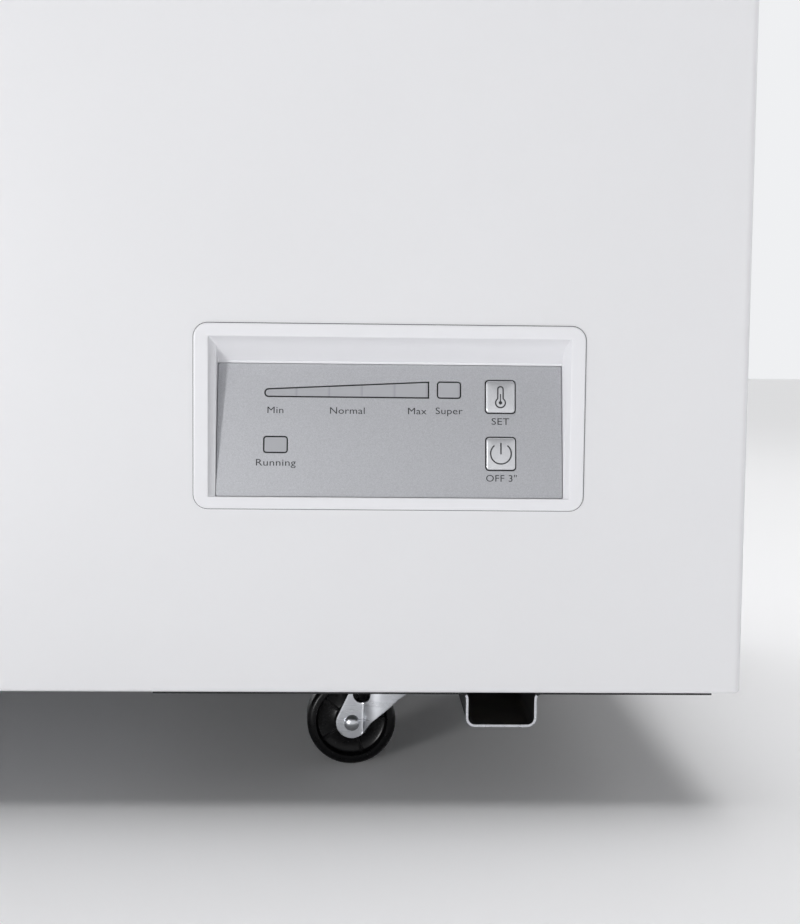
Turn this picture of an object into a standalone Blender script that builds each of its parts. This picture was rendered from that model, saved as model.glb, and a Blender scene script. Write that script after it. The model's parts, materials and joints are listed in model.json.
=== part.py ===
"""Chest freezer on four swivel casters, with its lid, cooling circuit and control panel.

Run with: blender --background --python part.py
Metres, +Z up, front towards -Y. The origin is under the middle of the freezer, on the floor.
"""

import math

import bmesh
import bpy
from mathutils import Matrix, Vector

GAP = 0.0003  # between pieces that touch

# Cabinet
WIDTH = 0.944
FRONT_Y = -0.260
BACK_Y = 0.263
SHELL_BOTTOM = 0.060
SHELL_TOP = 0.783
SHEET = 0.001
SHELL_CORNER = 0.004
SHELL_BEND = 0.002
HEM = 0.012
WALL = 0.062  # painted skin, foam and liner together
LINER_SHEET = 0.0012
LINER_TOP = 0.759
LINER_CORNER = 0.025
SIDE = WIDTH / 2
MIDDLE_Y = (FRONT_Y + BACK_Y) / 2
CABIN_X = SIDE - WALL
CABIN_Y = (BACK_Y - FRONT_Y) / 2 - WALL
CABIN_FLOOR = SHELL_BOTTOM + WALL
SIDE_TRIM = 0.0075  # how far the drain cap and the vent frame stand off the sides

# Machine compartment, under the step in the cabin's right end
MACHINE_X = SIDE - 0.300
MACHINE_TOP = 0.330
STEP_X = MACHINE_X - 0.055
STEP_TOP = MACHINE_TOP + 0.055
COLD_JACKET = 0.0095  # space round the liner for the evaporator tube
WARM_JACKET = 0.0072  # space behind the skin for the condenser tube

# Rim and lid
RIM_TOP = 0.7913
RIM_LEDGE = 0.768
RIM_LIP = 0.005
LEDGE_LIP = 0.013
LID_SIDE = SIDE + 0.002
LID_FRONT = FRONT_Y - 0.006
LID_BOTTOM = 0.7955
LID_TOP = 0.850
LID_SHEET = 0.0012
LID_CORNER = 0.012
GASKET_HEIGHT = 0.0072
GASKET_WIDTH = 0.014
PLUG_BOTTOM = 0.776
PLUG_INSET = 0.025
HANDLE_WIDTH = 0.180
HANDLE_REACH = 0.022

# Lid hinges
HINGE_X = 0.300
HINGE_Y = BACK_Y + 0.016
HINGE_Z = 0.7985
HINGE_PIN_R = 0.003
HINGE_EAR_R = 0.009
HINGE_HALF = 0.026
HINGE_PLATE = 0.002

# Base plates: pressed sheet with a hat-shaped channel from front to back
BASE_TOP = SHELL_BOTTOM - GAP
BASE_SHEET = 0.0012
BASE_BOTTOM = BASE_TOP - BASE_SHEET
CHANNEL_X = SIDE - 0.1215
CHANNEL_HALF = 0.018
CHANNEL_BOTTOM = SHELL_BOTTOM - 0.0183
CHANNEL_FOOT_R = 0.0047
CHANNEL_HEAD_R = 0.0024
BASE_INNER_X = SIDE - 0.298
BASE_OUTER_X = SIDE - 0.014

# Casters
SWIVEL_X = SIDE - 0.1785
FRONT_SWIVEL_Y = FRONT_Y + 0.086
REAR_SWIVEL_Y = BACK_Y - 0.086
WHEEL_R = 0.025
WHEEL_HALF = 0.010
WHEEL_SIDES = 22  # a flat of the tread lies on the floor
TRAIL = 0.020
AXLE_R = 0.003
FORK_HALF = 0.0112  # inside face of a fork leg
FORK_SHEET = 0.0018
FORK_TOP = 0.0530
CAP_R = 0.0190
CAP_LOW = 2 * WHEEL_R + 0.0005
FORK_FOOT_R = 0.0088
CASTER_PLATE_TOP = BASE_BOTTOM - GAP
CASTER_PLATE = 0.0020
CASTER_PLATE_HALF = 0.021
KINGPIN_R = 0.004
REST_TURNS = {"front_right": 3.0, "front_left": 11.0, "rear_right": 178.0, "rear_left": 171.0}

# Control panel
BEZEL_LEFT = SIDE - 0.2768
BEZEL_WIDTH = 0.194
BEZEL_BOTTOM = SHELL_BOTTOM + 0.0929
BEZEL_HEIGHT = 0.0918
BEZEL_CORNER = 0.007
BEZEL_PROUD = 0.0015
BEZEL_SIDE = 0.0074
BEZEL_HEAD = 0.0066
BEZEL_FOOT = 0.0060
FASCIA_LEFT = BEZEL_LEFT + 0.0110
FASCIA_WIDTH = 0.1728
FASCIA_HEIGHT = 0.0669
FASCIA_BOTTOM = BEZEL_BOTTOM + 0.0062
FASCIA_FOOT_Y = FRONT_Y + 0.0006
FASCIA_TILT = math.radians(9.5)
FASCIA_SHEET = 0.0015
KEY_WIDTH = 0.0148
KEY_HEIGHT = 0.0164
KEY_CORNER = 0.0015
KEY_PROUD = 0.0009
KEY_TRAVEL = 0.0008
SET_KEY = (0.1344, 0.0428)  # lower left corners, from the fascia's lower left corner
OFF_KEY = (0.1346, 0.0140)
LEVEL_LEFT = 0.0235
LEVEL_RIGHT = 0.1057
LEVEL_BOTTOM = 0.0501
LEVEL_LOW = 0.0040
LEVEL_HIGH = 0.0081
SUPER_WINDOW = (0.1101, 0.0501, 0.0117, 0.0082)
RUNNING_WINDOW = (0.0233, 0.0219, 0.0118, 0.0081)
WINDOW_CORNER = 0.0012
BOARD_BACK = 0.0105
BOARD_SHEET = 0.0016
SWITCH_RISE = 0.0030

# Compressor
COMPRESSOR_X = SIDE - 0.150
COMPRESSOR_Y = 0.085
COMPRESSOR_R = 0.076
COMPRESSOR_TOP = 0.250
FOOT_X = 0.062
FOOT_Y = 0.088
GROMMET_R = 0.011
GROMMET_HEIGHT = 0.018
STUD_R = 0.003

# Other openings
VENT_Y = (-0.090, 0.130)
VENT_Z = (0.110, 0.260)
HATCH_X = (MACHINE_X + 0.020, SIDE - 0.020)
HATCH_Z = (0.085, 0.310)
GLAND_X = SIDE - 0.250
GLAND_Z = 0.120
DRAIN_Y = FRONT_Y + 0.110
DRAIN_Z = CABIN_FLOOR + 0.0145
DRAIN_R = 0.009
DRAIN_BORE_R = 0.007

# Basket
BASKET_X = 0.255
BASKET_HALF = (0.130, 0.178)
BASKET_DEPTH = 0.215
BASKET_TOP = RIM_LEDGE + 0.0025
BASKET_WIRE = 0.004


def clear_scene():
    for obj in list(bpy.data.objects):
        bpy.data.objects.remove(obj)


def finish(name, colour, roughness, metallic=0.0):
    """A plain Principled material of the sub-part's colour."""
    material = bpy.data.materials.new(name)
    material.use_nodes = True
    shader = material.node_tree.nodes["Principled BSDF"]
    shader.inputs["Base Color"].default_value = (*colour, 1.0)
    shader.inputs["Roughness"].default_value = roughness
    shader.inputs["Metallic"].default_value = metallic
    return material


def painted_steel(name):
    return finish(name, (0.80, 0.80, 0.81), 0.35)


def white_plastic(name):
    return finish(name, (0.82, 0.82, 0.83), 0.40)


def silver_plastic(name):
    return finish(name, (0.55, 0.56, 0.58), 0.35, 0.6)


def dark_plastic(name):
    return finish(name, (0.015, 0.015, 0.016), 0.30)


def rubber(name):
    return finish(name, (0.02, 0.02, 0.02), 0.80)


def zinc_steel(name):
    return finish(name, (0.62, 0.63, 0.65), 0.30, 1.0)


def copper(name):
    return finish(name, (0.75, 0.38, 0.22), 0.30, 1.0)


def foam(name):
    return finish(name, (0.80, 0.72, 0.45), 0.90)


def object_from(bm, name, material):
    """Links a bmesh as an object, with its faces turned outwards."""
    bmesh.ops.recalc_face_normals(bm, faces=bm.faces)
    mesh = bpy.data.meshes.new(name)
    bm.to_mesh(mesh)
    bm.free()
    mesh.materials.append(material)
    obj = bpy.data.objects.new(name, mesh)
    bpy.context.scene.collection.objects.link(obj)
    return obj


def box(name, low, high, material=None):
    bm = bmesh.new()
    bmesh.ops.create_cube(bm, size=1.0)
    size = [high[i] - low[i] for i in range(3)]
    centre = [(high[i] + low[i]) / 2 for i in range(3)]
    bmesh.ops.scale(bm, vec=size, verts=bm.verts)
    bmesh.ops.translate(bm, vec=centre, verts=bm.verts)
    return object_from(bm, name, material)


def prism(name, outline, along, start, end, material=None):
    """A flat outline extruded along an axis. Its points are (y, z), (x, z) or (x, y)."""
    first, second, third = {"X": (1, 2, 0), "Y": (0, 2, 1), "Z": (0, 1, 2)}[along]
    bm = bmesh.new()
    rings = []
    for level in (start, end):
        ring = []
        for point in outline:
            place = [0.0, 0.0, 0.0]
            place[first] = point[0]
            place[second] = point[1]
            place[third] = level
            ring.append(bm.verts.new(place))
        rings.append(ring)
        bm.faces.new(ring)
    for i in range(len(outline)):
        bm.faces.new((rings[0][i - 1], rings[0][i], rings[1][i], rings[1][i - 1]))
    return object_from(bm, name, material)


def turned(name, profile, sides, material=None, axis="Z"):
    """A profile of (radius, height) points spun round the Z axis, then laid along axis."""
    bm = bmesh.new()
    points = [bm.verts.new((radius, 0.0, height)) for radius, height in profile]
    edges = [bm.edges.new(pair) for pair in zip(points, points[1:])]
    if profile[0][0] > 0.0:
        edges.append(bm.edges.new((points[-1], points[0])))
    bmesh.ops.spin(
        bm, geom=points + edges, axis=(0, 0, 1), angle=2 * math.pi, steps=sides, use_merge=True
    )
    bmesh.ops.remove_doubles(bm, verts=bm.verts, dist=1e-6)
    lay = {"Z": Matrix(), "X": Matrix.Rotation(math.pi / 2, 4, "Y")}
    lay["Y"] = Matrix.Rotation(-math.pi / 2, 4, "X")
    bmesh.ops.transform(bm, matrix=lay[axis], verts=bm.verts)
    obj = object_from(bm, name, material)
    smooth(obj)
    return obj


def tube(name, points, radius, material, sides_level=1):
    """A round tube along a line of points, with closed ends."""
    curve = bpy.data.curves.new(name, "CURVE")
    curve.dimensions = "3D"
    curve.bevel_depth = radius
    curve.bevel_resolution = sides_level
    curve.use_fill_caps = True
    spline = curve.splines.new("POLY")
    spline.points.add(len(points) - 1)
    for target, point in zip(spline.points, points):
        target.co = (*point, 1.0)
    curve.materials.append(material)
    obj = bpy.data.objects.new(name, curve)
    bpy.context.scene.collection.objects.link(obj)
    return obj


def smooth(obj):
    obj.data.shade_smooth()
    obj.data.set_sharp_from_angle(angle=math.radians(35))


def settle(target):
    """Turns an object's modifiers into its mesh and removes the tools that they used."""
    tools = [modifier.object for modifier in target.modifiers if modifier.type == "BOOLEAN"]
    graph = bpy.context.evaluated_depsgraph_get()
    mesh = bpy.data.meshes.new_from_object(target.evaluated_get(graph))
    bm = bmesh.new()
    bm.from_mesh(mesh)
    bmesh.ops.remove_doubles(bm, verts=bm.verts, dist=1e-6)
    bm.to_mesh(mesh)
    bm.free()
    target.modifiers.clear()
    target.data = mesh
    for tool in tools:
        bpy.data.objects.remove(tool)


def combine(target, operation, tools):
    for tool in tools:
        modifier = target.modifiers.new(tool.name, "BOOLEAN")
        modifier.operation = operation
        modifier.object = tool
    settle(target)
    return target


def cut(target, *tools):
    return combine(target, "DIFFERENCE", tools)


def weld(target, *tools):
    return combine(target, "UNION", tools)


def common(target, *tools):
    return combine(target, "INTERSECT", tools)


def bevel_edges(obj, width, steps, wanted):
    """Rounds the edges whose two ends pass the test."""
    bm = bmesh.new()
    bm.from_mesh(obj.data)
    edges = [edge for edge in bm.edges if wanted(edge.verts[0].co, edge.verts[1].co)]
    bmesh.ops.bevel(
        bm, geom=edges, offset=width, segments=steps, profile=0.5, affect="EDGES", clamp_overlap=True
    )
    bm.to_mesh(obj.data)
    bm.free()


def upright(a, b):
    return math.hypot(a.x - b.x, a.y - b.y) < 1e-5 and abs(a.z - b.z) > 0.005


def arc(centre, radius, start, end, steps):
    """Points on an arc, with angles in degrees from the first axis."""
    angles = [math.radians(start + (end - start) * i / steps) for i in range(steps + 1)]
    return [(centre[0] + radius * math.cos(a), centre[1] + radius * math.sin(a)) for a in angles]


def rounded_rectangle(left, low, width, height, radius, steps=3):
    corners = (
        ((left + width - radius, low + height - radius), 0),
        ((left + radius, low + height - radius), 90),
        ((left + radius, low + radius), 180),
        ((left + width - radius, low + radius), 270),
    )
    return [p for centre, turn in corners for p in arc(centre, radius, turn, turn + 90, steps)]


def filleted(points, radius, steps=3):
    """A line of points with each inner corner replaced by an arc."""
    points = [Vector(point) for point in points]
    line = [points[0]]
    for before, corner, after in zip(points, points[1:], points[2:]):
        back = (before - corner).normalized()
        ahead = (after - corner).normalized()
        half = back.angle(ahead) / 2
        reach = radius / math.tan(half)
        centre = corner + (back + ahead).normalized() * radius / math.sin(half)
        first = corner + back * reach - centre
        turn = math.pi - 2 * half
        spin = first.cross(ahead).normalized()
        for i in range(steps + 1):
            line.append(centre + Matrix.Rotation(turn * i / steps, 3, spin) @ first)
    line.append(points[-1])
    return line


def empty(name, location, rotation=(0.0, 0.0, 0.0), parent=None):
    obj = bpy.data.objects.new(name, None)
    obj.empty_display_size = 0.02
    obj.location = location
    obj.rotation_euler = rotation
    obj.parent = parent
    bpy.context.scene.collection.objects.link(obj)
    return obj


def cylinder(name, centre, radius, length, axis, sides=16, material=None):
    """A plain rod, centred on a point."""
    profile = [(0.0, length / 2), (radius, length / 2), (radius, -length / 2), (0.0, -length / 2)]
    obj = turned(name, profile, sides, material, axis)
    obj.data.transform(Matrix.Translation(centre))
    return obj


def copy_of(source, name):
    twin = bpy.data.objects.new(name, source.data)
    bpy.context.scene.collection.objects.link(twin)
    return twin


def ring_prism(name, outer, inner, low, high, material):
    """A rectangular ring about the cabinet's middle, from half sizes in X and Y."""
    body = box(
        name,
        (-outer[0], MIDDLE_Y - outer[1], low),
        (outer[0], MIDDLE_Y + outer[1], high),
        material,
    )
    hole = box(
        name + "_hole",
        (-inner[0], MIDDLE_Y - inner[1], low - 0.01),
        (inner[0], MIDDLE_Y + inner[1], high + 0.01),
    )
    return cut(body, hole)


# ---- Cabinet ----


def cabinet_wrap():
    """Front and both sides from one folded sheet, with a hem turned in under the bottom."""
    wrap = box(
        "cabinet_wrap",
        (-SIDE, FRONT_Y, SHELL_BOTTOM),
        (SIDE, BACK_Y - SHEET - 2 * GAP, SHELL_TOP),
        painted_steel("wrap_paint"),
    )

    def front_corner(a, b):
        return max(a.y, b.y) < FRONT_Y + 1e-4 and abs(a.z - b.z) > 0.1

    def bottom_edge(a, b):
        low = max(a.z, b.z) < SHELL_BOTTOM + 1e-4
        return low and min(a.y, b.y) < BACK_Y - 0.05

    bevel_edges(wrap, SHELL_CORNER, 4, front_corner)
    bevel_edges(wrap, SHELL_BEND, 3, bottom_edge)
    inside = box(
        "wrap_inside",
        (-SIDE + SHEET, FRONT_Y + SHEET, SHELL_BOTTOM + SHEET),
        (SIDE - SHEET, BACK_Y + 0.01, SHELL_TOP + 0.01),
    )
    under = box(
        "wrap_under",
        (-SIDE + HEM, FRONT_Y + HEM, SHELL_BOTTOM - 0.01),
        (SIDE - HEM, BACK_Y + 0.01, SHELL_BOTTOM + 0.01),
    )
    panel = box(
        "wrap_panel_hole",
        (BEZEL_LEFT + 0.004, FRONT_Y - 0.01, BEZEL_BOTTOM + 0.004),
        (BEZEL_LEFT + BEZEL_WIDTH - 0.004, FRONT_Y + 0.01, BEZEL_BOTTOM + BEZEL_HEIGHT - 0.004),
    )
    vent = box(
        "wrap_vent_hole", (SIDE - 0.01, VENT_Y[0], VENT_Z[0]), (SIDE + 0.01, VENT_Y[1], VENT_Z[1])
    )
    cut(wrap, inside, under, panel, vent, drain_hole("wrap_drain_hole"))
    smooth(wrap)


def drain_hole(name):
    centre = (-SIDE + 0.03, DRAIN_Y, DRAIN_Z)
    return cylinder(name, centre, DRAIN_R + GAP, 0.085, "X")


def back_panel():
    """Flat rear sheet with the machine compartment's hatch."""
    panel = box(
        "back_panel",
        (-SIDE + GAP, BACK_Y - SHEET - GAP, SHELL_BOTTOM + GAP),
        (SIDE - GAP, BACK_Y - GAP, SHELL_TOP),
        painted_steel("back_paint"),
    )
    hatch = box(
        "hatch_hole", (HATCH_X[0], BACK_Y - 0.01, HATCH_Z[0]), (HATCH_X[1], BACK_Y + 0.01, HATCH_Z[1])
    )
    cut(panel, hatch)


def foam_insulation():
    """Foam between the skin and the liner, with the tubes' two jackets left clear."""
    inset = SHEET + WARM_JACKET
    body = box(
        "foam_insulation",
        (-SIDE + inset, FRONT_Y + inset, SHELL_BOTTOM + 0.0035),
        (SIDE - inset, BACK_Y - inset, LINER_TOP),
        foam("foam"),
    )
    bevel_edges(body, 0.008, 2, upright)
    wide = CABIN_X + LINER_SHEET + COLD_JACKET
    deep = CABIN_Y + LINER_SHEET + COLD_JACKET
    floor = CABIN_FLOOR - LINER_SHEET - GAP
    step = STEP_TOP - LINER_SHEET - GAP
    cavity = prism(
        "foam_cavity",
        (
            (-wide, floor),
            (STEP_X + LINER_SHEET + GAP, floor),
            (STEP_X + LINER_SHEET + GAP, step),
            (wide, step),
            (wide, LINER_TOP + 0.01),
            (-wide, LINER_TOP + 0.01),
        ),
        "Y",
        MIDDLE_Y - deep,
        MIDDLE_Y + deep,
    )

    def outer_edge(a, b):
        return upright(a, b) and abs(a.x) > wide - 1e-4

    bevel_edges(cavity, LINER_CORNER + LINER_SHEET + COLD_JACKET, 3, outer_edge)
    machine = box(
        "foam_machine_space",
        (MACHINE_X, FRONT_Y - 0.01, SHELL_BOTTOM - 0.01),
        (SIDE + 0.01, BACK_Y + 0.01, MACHINE_TOP),
    )
    duct_x = SIDE - WALL - LINER_SHEET
    duct = box(
        "foam_tube_duct",
        (duct_x - 0.004, 0.130, MACHINE_TOP - 0.01),
        (duct_x + 0.016, 0.160, STEP_TOP + 0.01),
    )
    cut(body, cavity, machine, duct, drain_hole("foam_drain_hole"))


def liner_outline(grow):
    """Side view of the cabin, with the step over the machine compartment."""
    return (
        (-CABIN_X - grow, CABIN_FLOOR - grow),
        (STEP_X + grow, CABIN_FLOOR - grow),
        (STEP_X + grow, STEP_TOP - grow),
        (CABIN_X + grow, STEP_TOP - grow),
        (CABIN_X + grow, LINER_TOP - GAP),
        (-CABIN_X - grow, LINER_TOP - GAP),
    )


def inner_liner():
    half = CABIN_Y + LINER_SHEET
    liner = prism(
        "inner_liner",
        liner_outline(LINER_SHEET),
        "Y",
        MIDDLE_Y - half,
        MIDDLE_Y + half,
        finish("liner", (0.85, 0.85, 0.86), 0.3),
    )
    space = liner_outline(0.0)[:4] + ((CABIN_X, LINER_TOP + 0.01), (-CABIN_X, LINER_TOP + 0.01))
    inside = prism("liner_space", space, "Y", MIDDLE_Y - CABIN_Y, MIDDLE_Y + CABIN_Y)
    bevel_edges(liner, LINER_CORNER + LINER_SHEET, 3, upright)
    bevel_edges(inside, LINER_CORNER, 3, upright)
    cut(liner, inside, drain_hole("liner_drain_hole"))


def rim_frame():
    """Plastic frame that joins the skin to the liner, with a ledge for the basket."""
    outer = (SIDE - GAP, (BACK_Y - FRONT_Y) / 2 - GAP)
    inner = (CABIN_X - RIM_LIP, CABIN_Y - RIM_LIP)
    frame = ring_prism("rim_frame", outer, inner, SHELL_TOP + GAP, RIM_TOP, white_plastic("rim"))
    wall = SHEET + GAP + 0.0015
    deep = (SIDE - wall, (BACK_Y - FRONT_Y) / 2 - wall)
    seat = ring_prism("rim_seat", deep, inner, LINER_TOP + 0.001, SHELL_TOP + 0.003, None)
    ledge_inner = (CABIN_X - LEDGE_LIP, CABIN_Y - LEDGE_LIP)
    ledge_outer = (CABIN_X - RIM_LIP + 0.003, CABIN_Y - RIM_LIP + 0.003)
    ledge = ring_prism("rim_ledge", ledge_outer, ledge_inner, LINER_TOP + 0.003, RIM_LEDGE, None)
    weld(frame, seat, ledge)


def bottom_panel():
    """Flat sheet under the foam, left of the machine compartment."""
    box(
        "bottom_panel",
        (-SIDE + SHEET + 0.001, FRONT_Y + SHEET + 0.001, SHELL_BOTTOM + SHEET + GAP),
        (MACHINE_X, BACK_Y - 0.003, SHELL_BOTTOM + SHEET + GAP + 0.001),
        zinc_steel("bottom_zinc"),
    )


def hat_outline(low_x, high_x, channel):
    """Section of a base plate: a flat sheet that dips into a round-cornered channel."""
    head, foot = CHANNEL_HEAD_R, CHANNEL_FOOT_R
    half, bottom, sheet = CHANNEL_HALF, CHANNEL_BOTTOM, BASE_SHEET
    under = [(low_x, BASE_BOTTOM)]
    under += arc((channel - half - head, BASE_BOTTOM - head), head, 90, 0, 3)
    under += arc((channel - half + foot, bottom + foot), foot, 180, 270, 4)
    under += arc((channel + half - foot, bottom + foot), foot, 270, 360, 4)
    under += arc((channel + half + head, BASE_BOTTOM - head), head, 180, 90, 3)
    under += [(high_x, BASE_BOTTOM)]
    over = [(high_x, BASE_TOP)]
    over += arc((channel + half + head, BASE_BOTTOM - head), head + sheet, 90, 180, 3)
    over += arc((channel + half - foot, bottom + foot), foot - sheet, 360, 270, 4)
    over += arc((channel - half + foot, bottom + foot), foot - sheet, 270, 180, 4)
    over += arc((channel - half - head, BASE_BOTTOM - head), head + sheet, 0, 90, 3)
    over += [(low_x, BASE_TOP)]
    return under + over


def base_plates():
    """The machine base on the right, with four studs for the compressor, and its left twin."""
    front, rear = FRONT_Y + 0.004, BACK_Y - 0.004
    right = prism(
        "machine_base",
        hat_outline(BASE_INNER_X, BASE_OUTER_X, CHANNEL_X),
        "Y",
        front,
        rear,
        zinc_steel("machine_base_zinc"),
    )
    studs = [
        cylinder("stud", (x, y, BASE_BOTTOM + 0.0137), STUD_R, 0.027, "Z", 10)
        for x, y in foot_places()
    ]
    weld(right, *studs)
    prism(
        "left_base",
        hat_outline(-BASE_OUTER_X, -BASE_INNER_X, -CHANNEL_X),
        "Y",
        front,
        rear,
        zinc_steel("left_base_zinc"),
    )


def drain():
    """A straight tube from the cabin's floor level to the left side, and its push-in cap."""
    outer_end = -SIDE - 0.0018
    inner_end = -CABIN_X - 0.0002
    length = inner_end - outer_end
    profile = [
        (DRAIN_BORE_R, length / 2),
        (DRAIN_R, length / 2),
        (DRAIN_R, -length / 2 + 0.0015),
        (0.015, -length / 2 + 0.0015),
        (0.015, -length / 2),
        (DRAIN_BORE_R, -length / 2),
    ]
    pipe = turned("drain_tube", profile, 16, white_plastic("drain_white"), "X")
    pipe.data.transform(Matrix.Translation(((outer_end + inner_end) / 2, DRAIN_Y, DRAIN_Z)))
    proud = SIDE_TRIM - 0.0018 - GAP
    cap_profile = [
        (0.0, 0.020),
        (0.0055, 0.020),
        (0.0062, 0.017),
        (0.0062, 0.0),
        (0.0135, 0.0),
        (0.0135, -proud + 0.0012),
        (0.0120, -proud),
        (0.0, -proud),
    ]
    cap = turned("drain_cap", cap_profile, 16, white_plastic("cap_white"), "X")
    cap.location = (outer_end - GAP, DRAIN_Y, DRAIN_Z)


# ---- Lid ----


def lid(axis):
    """Painted pan, foam core, moulded inner panel, magnetic gasket and grip."""
    low = LID_BOTTOM
    paint = painted_steel("lid_paint")
    skin = box("lid_skin", (-LID_SIDE, LID_FRONT, low), (LID_SIDE, BACK_Y, LID_TOP), paint)

    def top_edge(a, b):
        return min(a.z, b.z) > LID_TOP - 1e-4

    bevel_edges(skin, LID_CORNER, 4, upright)
    bevel_edges(skin, LID_CORNER * 0.7, 4, top_edge)
    pan = box(
        "pan_space",
        (-LID_SIDE + LID_SHEET, LID_FRONT + LID_SHEET, low - 0.01),
        (LID_SIDE - LID_SHEET, BACK_Y - LID_SHEET, LID_TOP - LID_SHEET),
    )
    bevel_edges(pan, LID_CORNER - LID_SHEET, 3, upright)
    pan_top = LID_TOP - LID_SHEET - 1e-4
    bevel_edges(pan, LID_CORNER * 0.7 - LID_SHEET, 3, lambda a, b: min(a.z, b.z) > pan_top)
    cut(skin, pan)
    smooth(skin)

    inset = LID_SHEET + GAP
    panel_low = RIM_TOP + GASKET_HEIGHT + 2 * GAP
    panel_sheet = 0.0015
    reach = (CABIN_X - PLUG_INSET, CABIN_Y - PLUG_INSET)
    panel = box(
        "lid_liner",
        (-LID_SIDE + inset, LID_FRONT + inset, panel_low),
        (LID_SIDE - inset, BACK_Y - inset, panel_low + panel_sheet),
        white_plastic("lid_liner_white"),
    )
    bevel_edges(panel, LID_CORNER, 3, lambda a, b: abs(a.z - b.z) > panel_sheet * 0.9)
    plug = box(
        "plug",
        (-reach[0], MIDDLE_Y - reach[1], PLUG_BOTTOM),
        (reach[0], MIDDLE_Y + reach[1], panel_low + 0.001)
    )
    bevel_edges(plug, 0.010, 3, upright)
    hollow = box(
        "plug_hollow",
        (-reach[0] + 0.0025, MIDDLE_Y - reach[1] + 0.0025, PLUG_BOTTOM + 0.0015),
        (reach[0] - 0.0025, MIDDLE_Y + reach[1] - 0.0025, panel_low + 0.01),
    )
    weld(panel, plug)
    cut(panel, hollow)

    core = box(
        "lid_foam",
        (-LID_SIDE + inset, LID_FRONT + inset, panel_low + panel_sheet + GAP),
        (LID_SIDE - inset, BACK_Y - inset, LID_TOP - inset - 0.001),
        foam("lid_foam"),
    )
    core_top = LID_TOP - inset - 0.0011
    bevel_edges(core, LID_CORNER, 3, upright)
    bevel_edges(core, LID_CORNER * 0.7 - inset, 3, lambda a, b: min(a.z, b.z) > core_top)
    fill = box(
        "plug_fill",
        (-reach[0] + 0.0030, MIDDLE_Y - reach[1] + 0.0030, PLUG_BOTTOM + 0.0020),
        (reach[0] - 0.0030, MIDDLE_Y + reach[1] - 0.0030, panel_low + 0.005),
    )
    weld(core, fill)

    half = (SIDE - 0.008, (BACK_Y - FRONT_Y) / 2 - 0.008)
    inner = (half[0] - GASKET_WIDTH, half[1] - GASKET_WIDTH)
    gasket_low = RIM_TOP + GAP
    ring_prism("lid_gasket", half, inner, gasket_low, gasket_low + GASKET_HEIGHT, rubber("gasket"))
    lid_handle()
    for name in ("lid_skin", "lid_liner", "lid_foam", "lid_gasket", "lid_handle"):
        hang(bpy.data.objects[name], axis)


def lid_handle():
    """A lip under the middle of the lid's front edge, turned down at its end for the fingers."""
    root, tip = LID_FRONT - GAP, LID_FRONT - HANDLE_REACH
    top = LID_TOP - 0.014
    outline = [(root, top), (root, top - 0.012)]
    outline += arc((tip + 0.0095, top - 0.0170), 0.0050, 90, 180, 3)
    outline += [(tip + 0.0045, top - 0.030)]
    outline += arc((tip + 0.00225, top - 0.030), 0.00225, 360, 180, 4)[1:]
    outline += arc((tip + 0.012, top - 0.012), 0.012, 180, 90, 5)
    half = HANDLE_WIDTH / 2
    handle = prism("lid_handle", outline, "X", -half, half, white_plastic("handle_white"))
    smooth(handle)


def hang(piece, axis):
    """Parents a finished piece to an empty on its joint's axis, without moving it."""
    piece.parent = axis
    piece.matrix_parent_inverse = axis.matrix_basis.inverted()


def hinge_set():
    """Two hinges: a plate with ears on the cabinet's back, a leaf on the lid, a pin and a spring."""
    axis = empty("lid_axis", (0.0, HINGE_Y, HINGE_Z))
    for side, middle in (("left", -HINGE_X), ("right", HINGE_X)):
        hinge_base(side, middle)
        hang(hinge_leaf(side, middle), axis)
        hinge_pin(side, middle)
        hinge_spring(side, middle)
    return axis


def hinge_base(side, middle):
    near = BACK_Y + GAP
    plate_top = HINGE_Z - 0.006
    base = box(
        "hinge_base_" + side,
        (middle - HINGE_HALF, near, plate_top - 0.085),
        (middle + HINGE_HALF, near + HINGE_PLATE, plate_top),
        zinc_steel("hinge_base_zinc_" + side),
    )
    outline = [(near + 0.001, plate_top - 0.060), (near + 0.006, plate_top - 0.060)]
    outline += arc((HINGE_Y, HINGE_Z), HINGE_EAR_R, -60, 120, 6)
    outline += [(near + 0.001, plate_top - 0.001)]
    ears = []
    for edge in (-HINGE_HALF, HINGE_HALF - HINGE_PLATE):
        ears.append(prism("ear", outline, "X", middle + edge, middle + edge + HINGE_PLATE))
    weld(base, *ears)
    bore = cylinder("ear_bore", (middle, HINGE_Y, HINGE_Z), HINGE_PIN_R + GAP, 0.08, "X", 16)
    cut(base, bore)


def hinge_leaf(side, middle):
    """The leaf goes up the lid's back and round the pin in one short barrel."""
    near = BACK_Y + GAP
    low, high = LID_BOTTOM + 0.008, LID_TOP - 0.016
    outline = [(near, low), (near, high), (near + HINGE_PLATE, high), (near + HINGE_PLATE, low + 0.012)]
    outline += arc((HINGE_Y, HINGE_Z), 0.0062, 80, -180, 9)
    leaf = prism(
        "hinge_leaf_" + side,
        outline,
        "X",
        middle - 0.010,
        middle + 0.020,
        zinc_steel("hinge_leaf_zinc_" + side)
    )
    bore = cylinder("leaf_bore", (middle, HINGE_Y, HINGE_Z), HINGE_PIN_R + GAP, 0.08, "X", 16)
    return cut(leaf, bore)


def hinge_pin(side, middle):
    half = HINGE_HALF + 0.0008
    profile = [
        (0.0, half + 0.0022),
        (0.0040, half + 0.0022),
        (0.0050, half + 0.0012),
        (0.0050, half),
        (HINGE_PIN_R, half),
        (HINGE_PIN_R, -half - 0.0015),
        (0.0, -half - 0.0015),
    ]
    pin = turned("hinge_pin_" + side, profile, 16, zinc_steel("pin_zinc_" + side), "X")
    pin.location = (middle, HINGE_Y, HINGE_Z)


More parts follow.
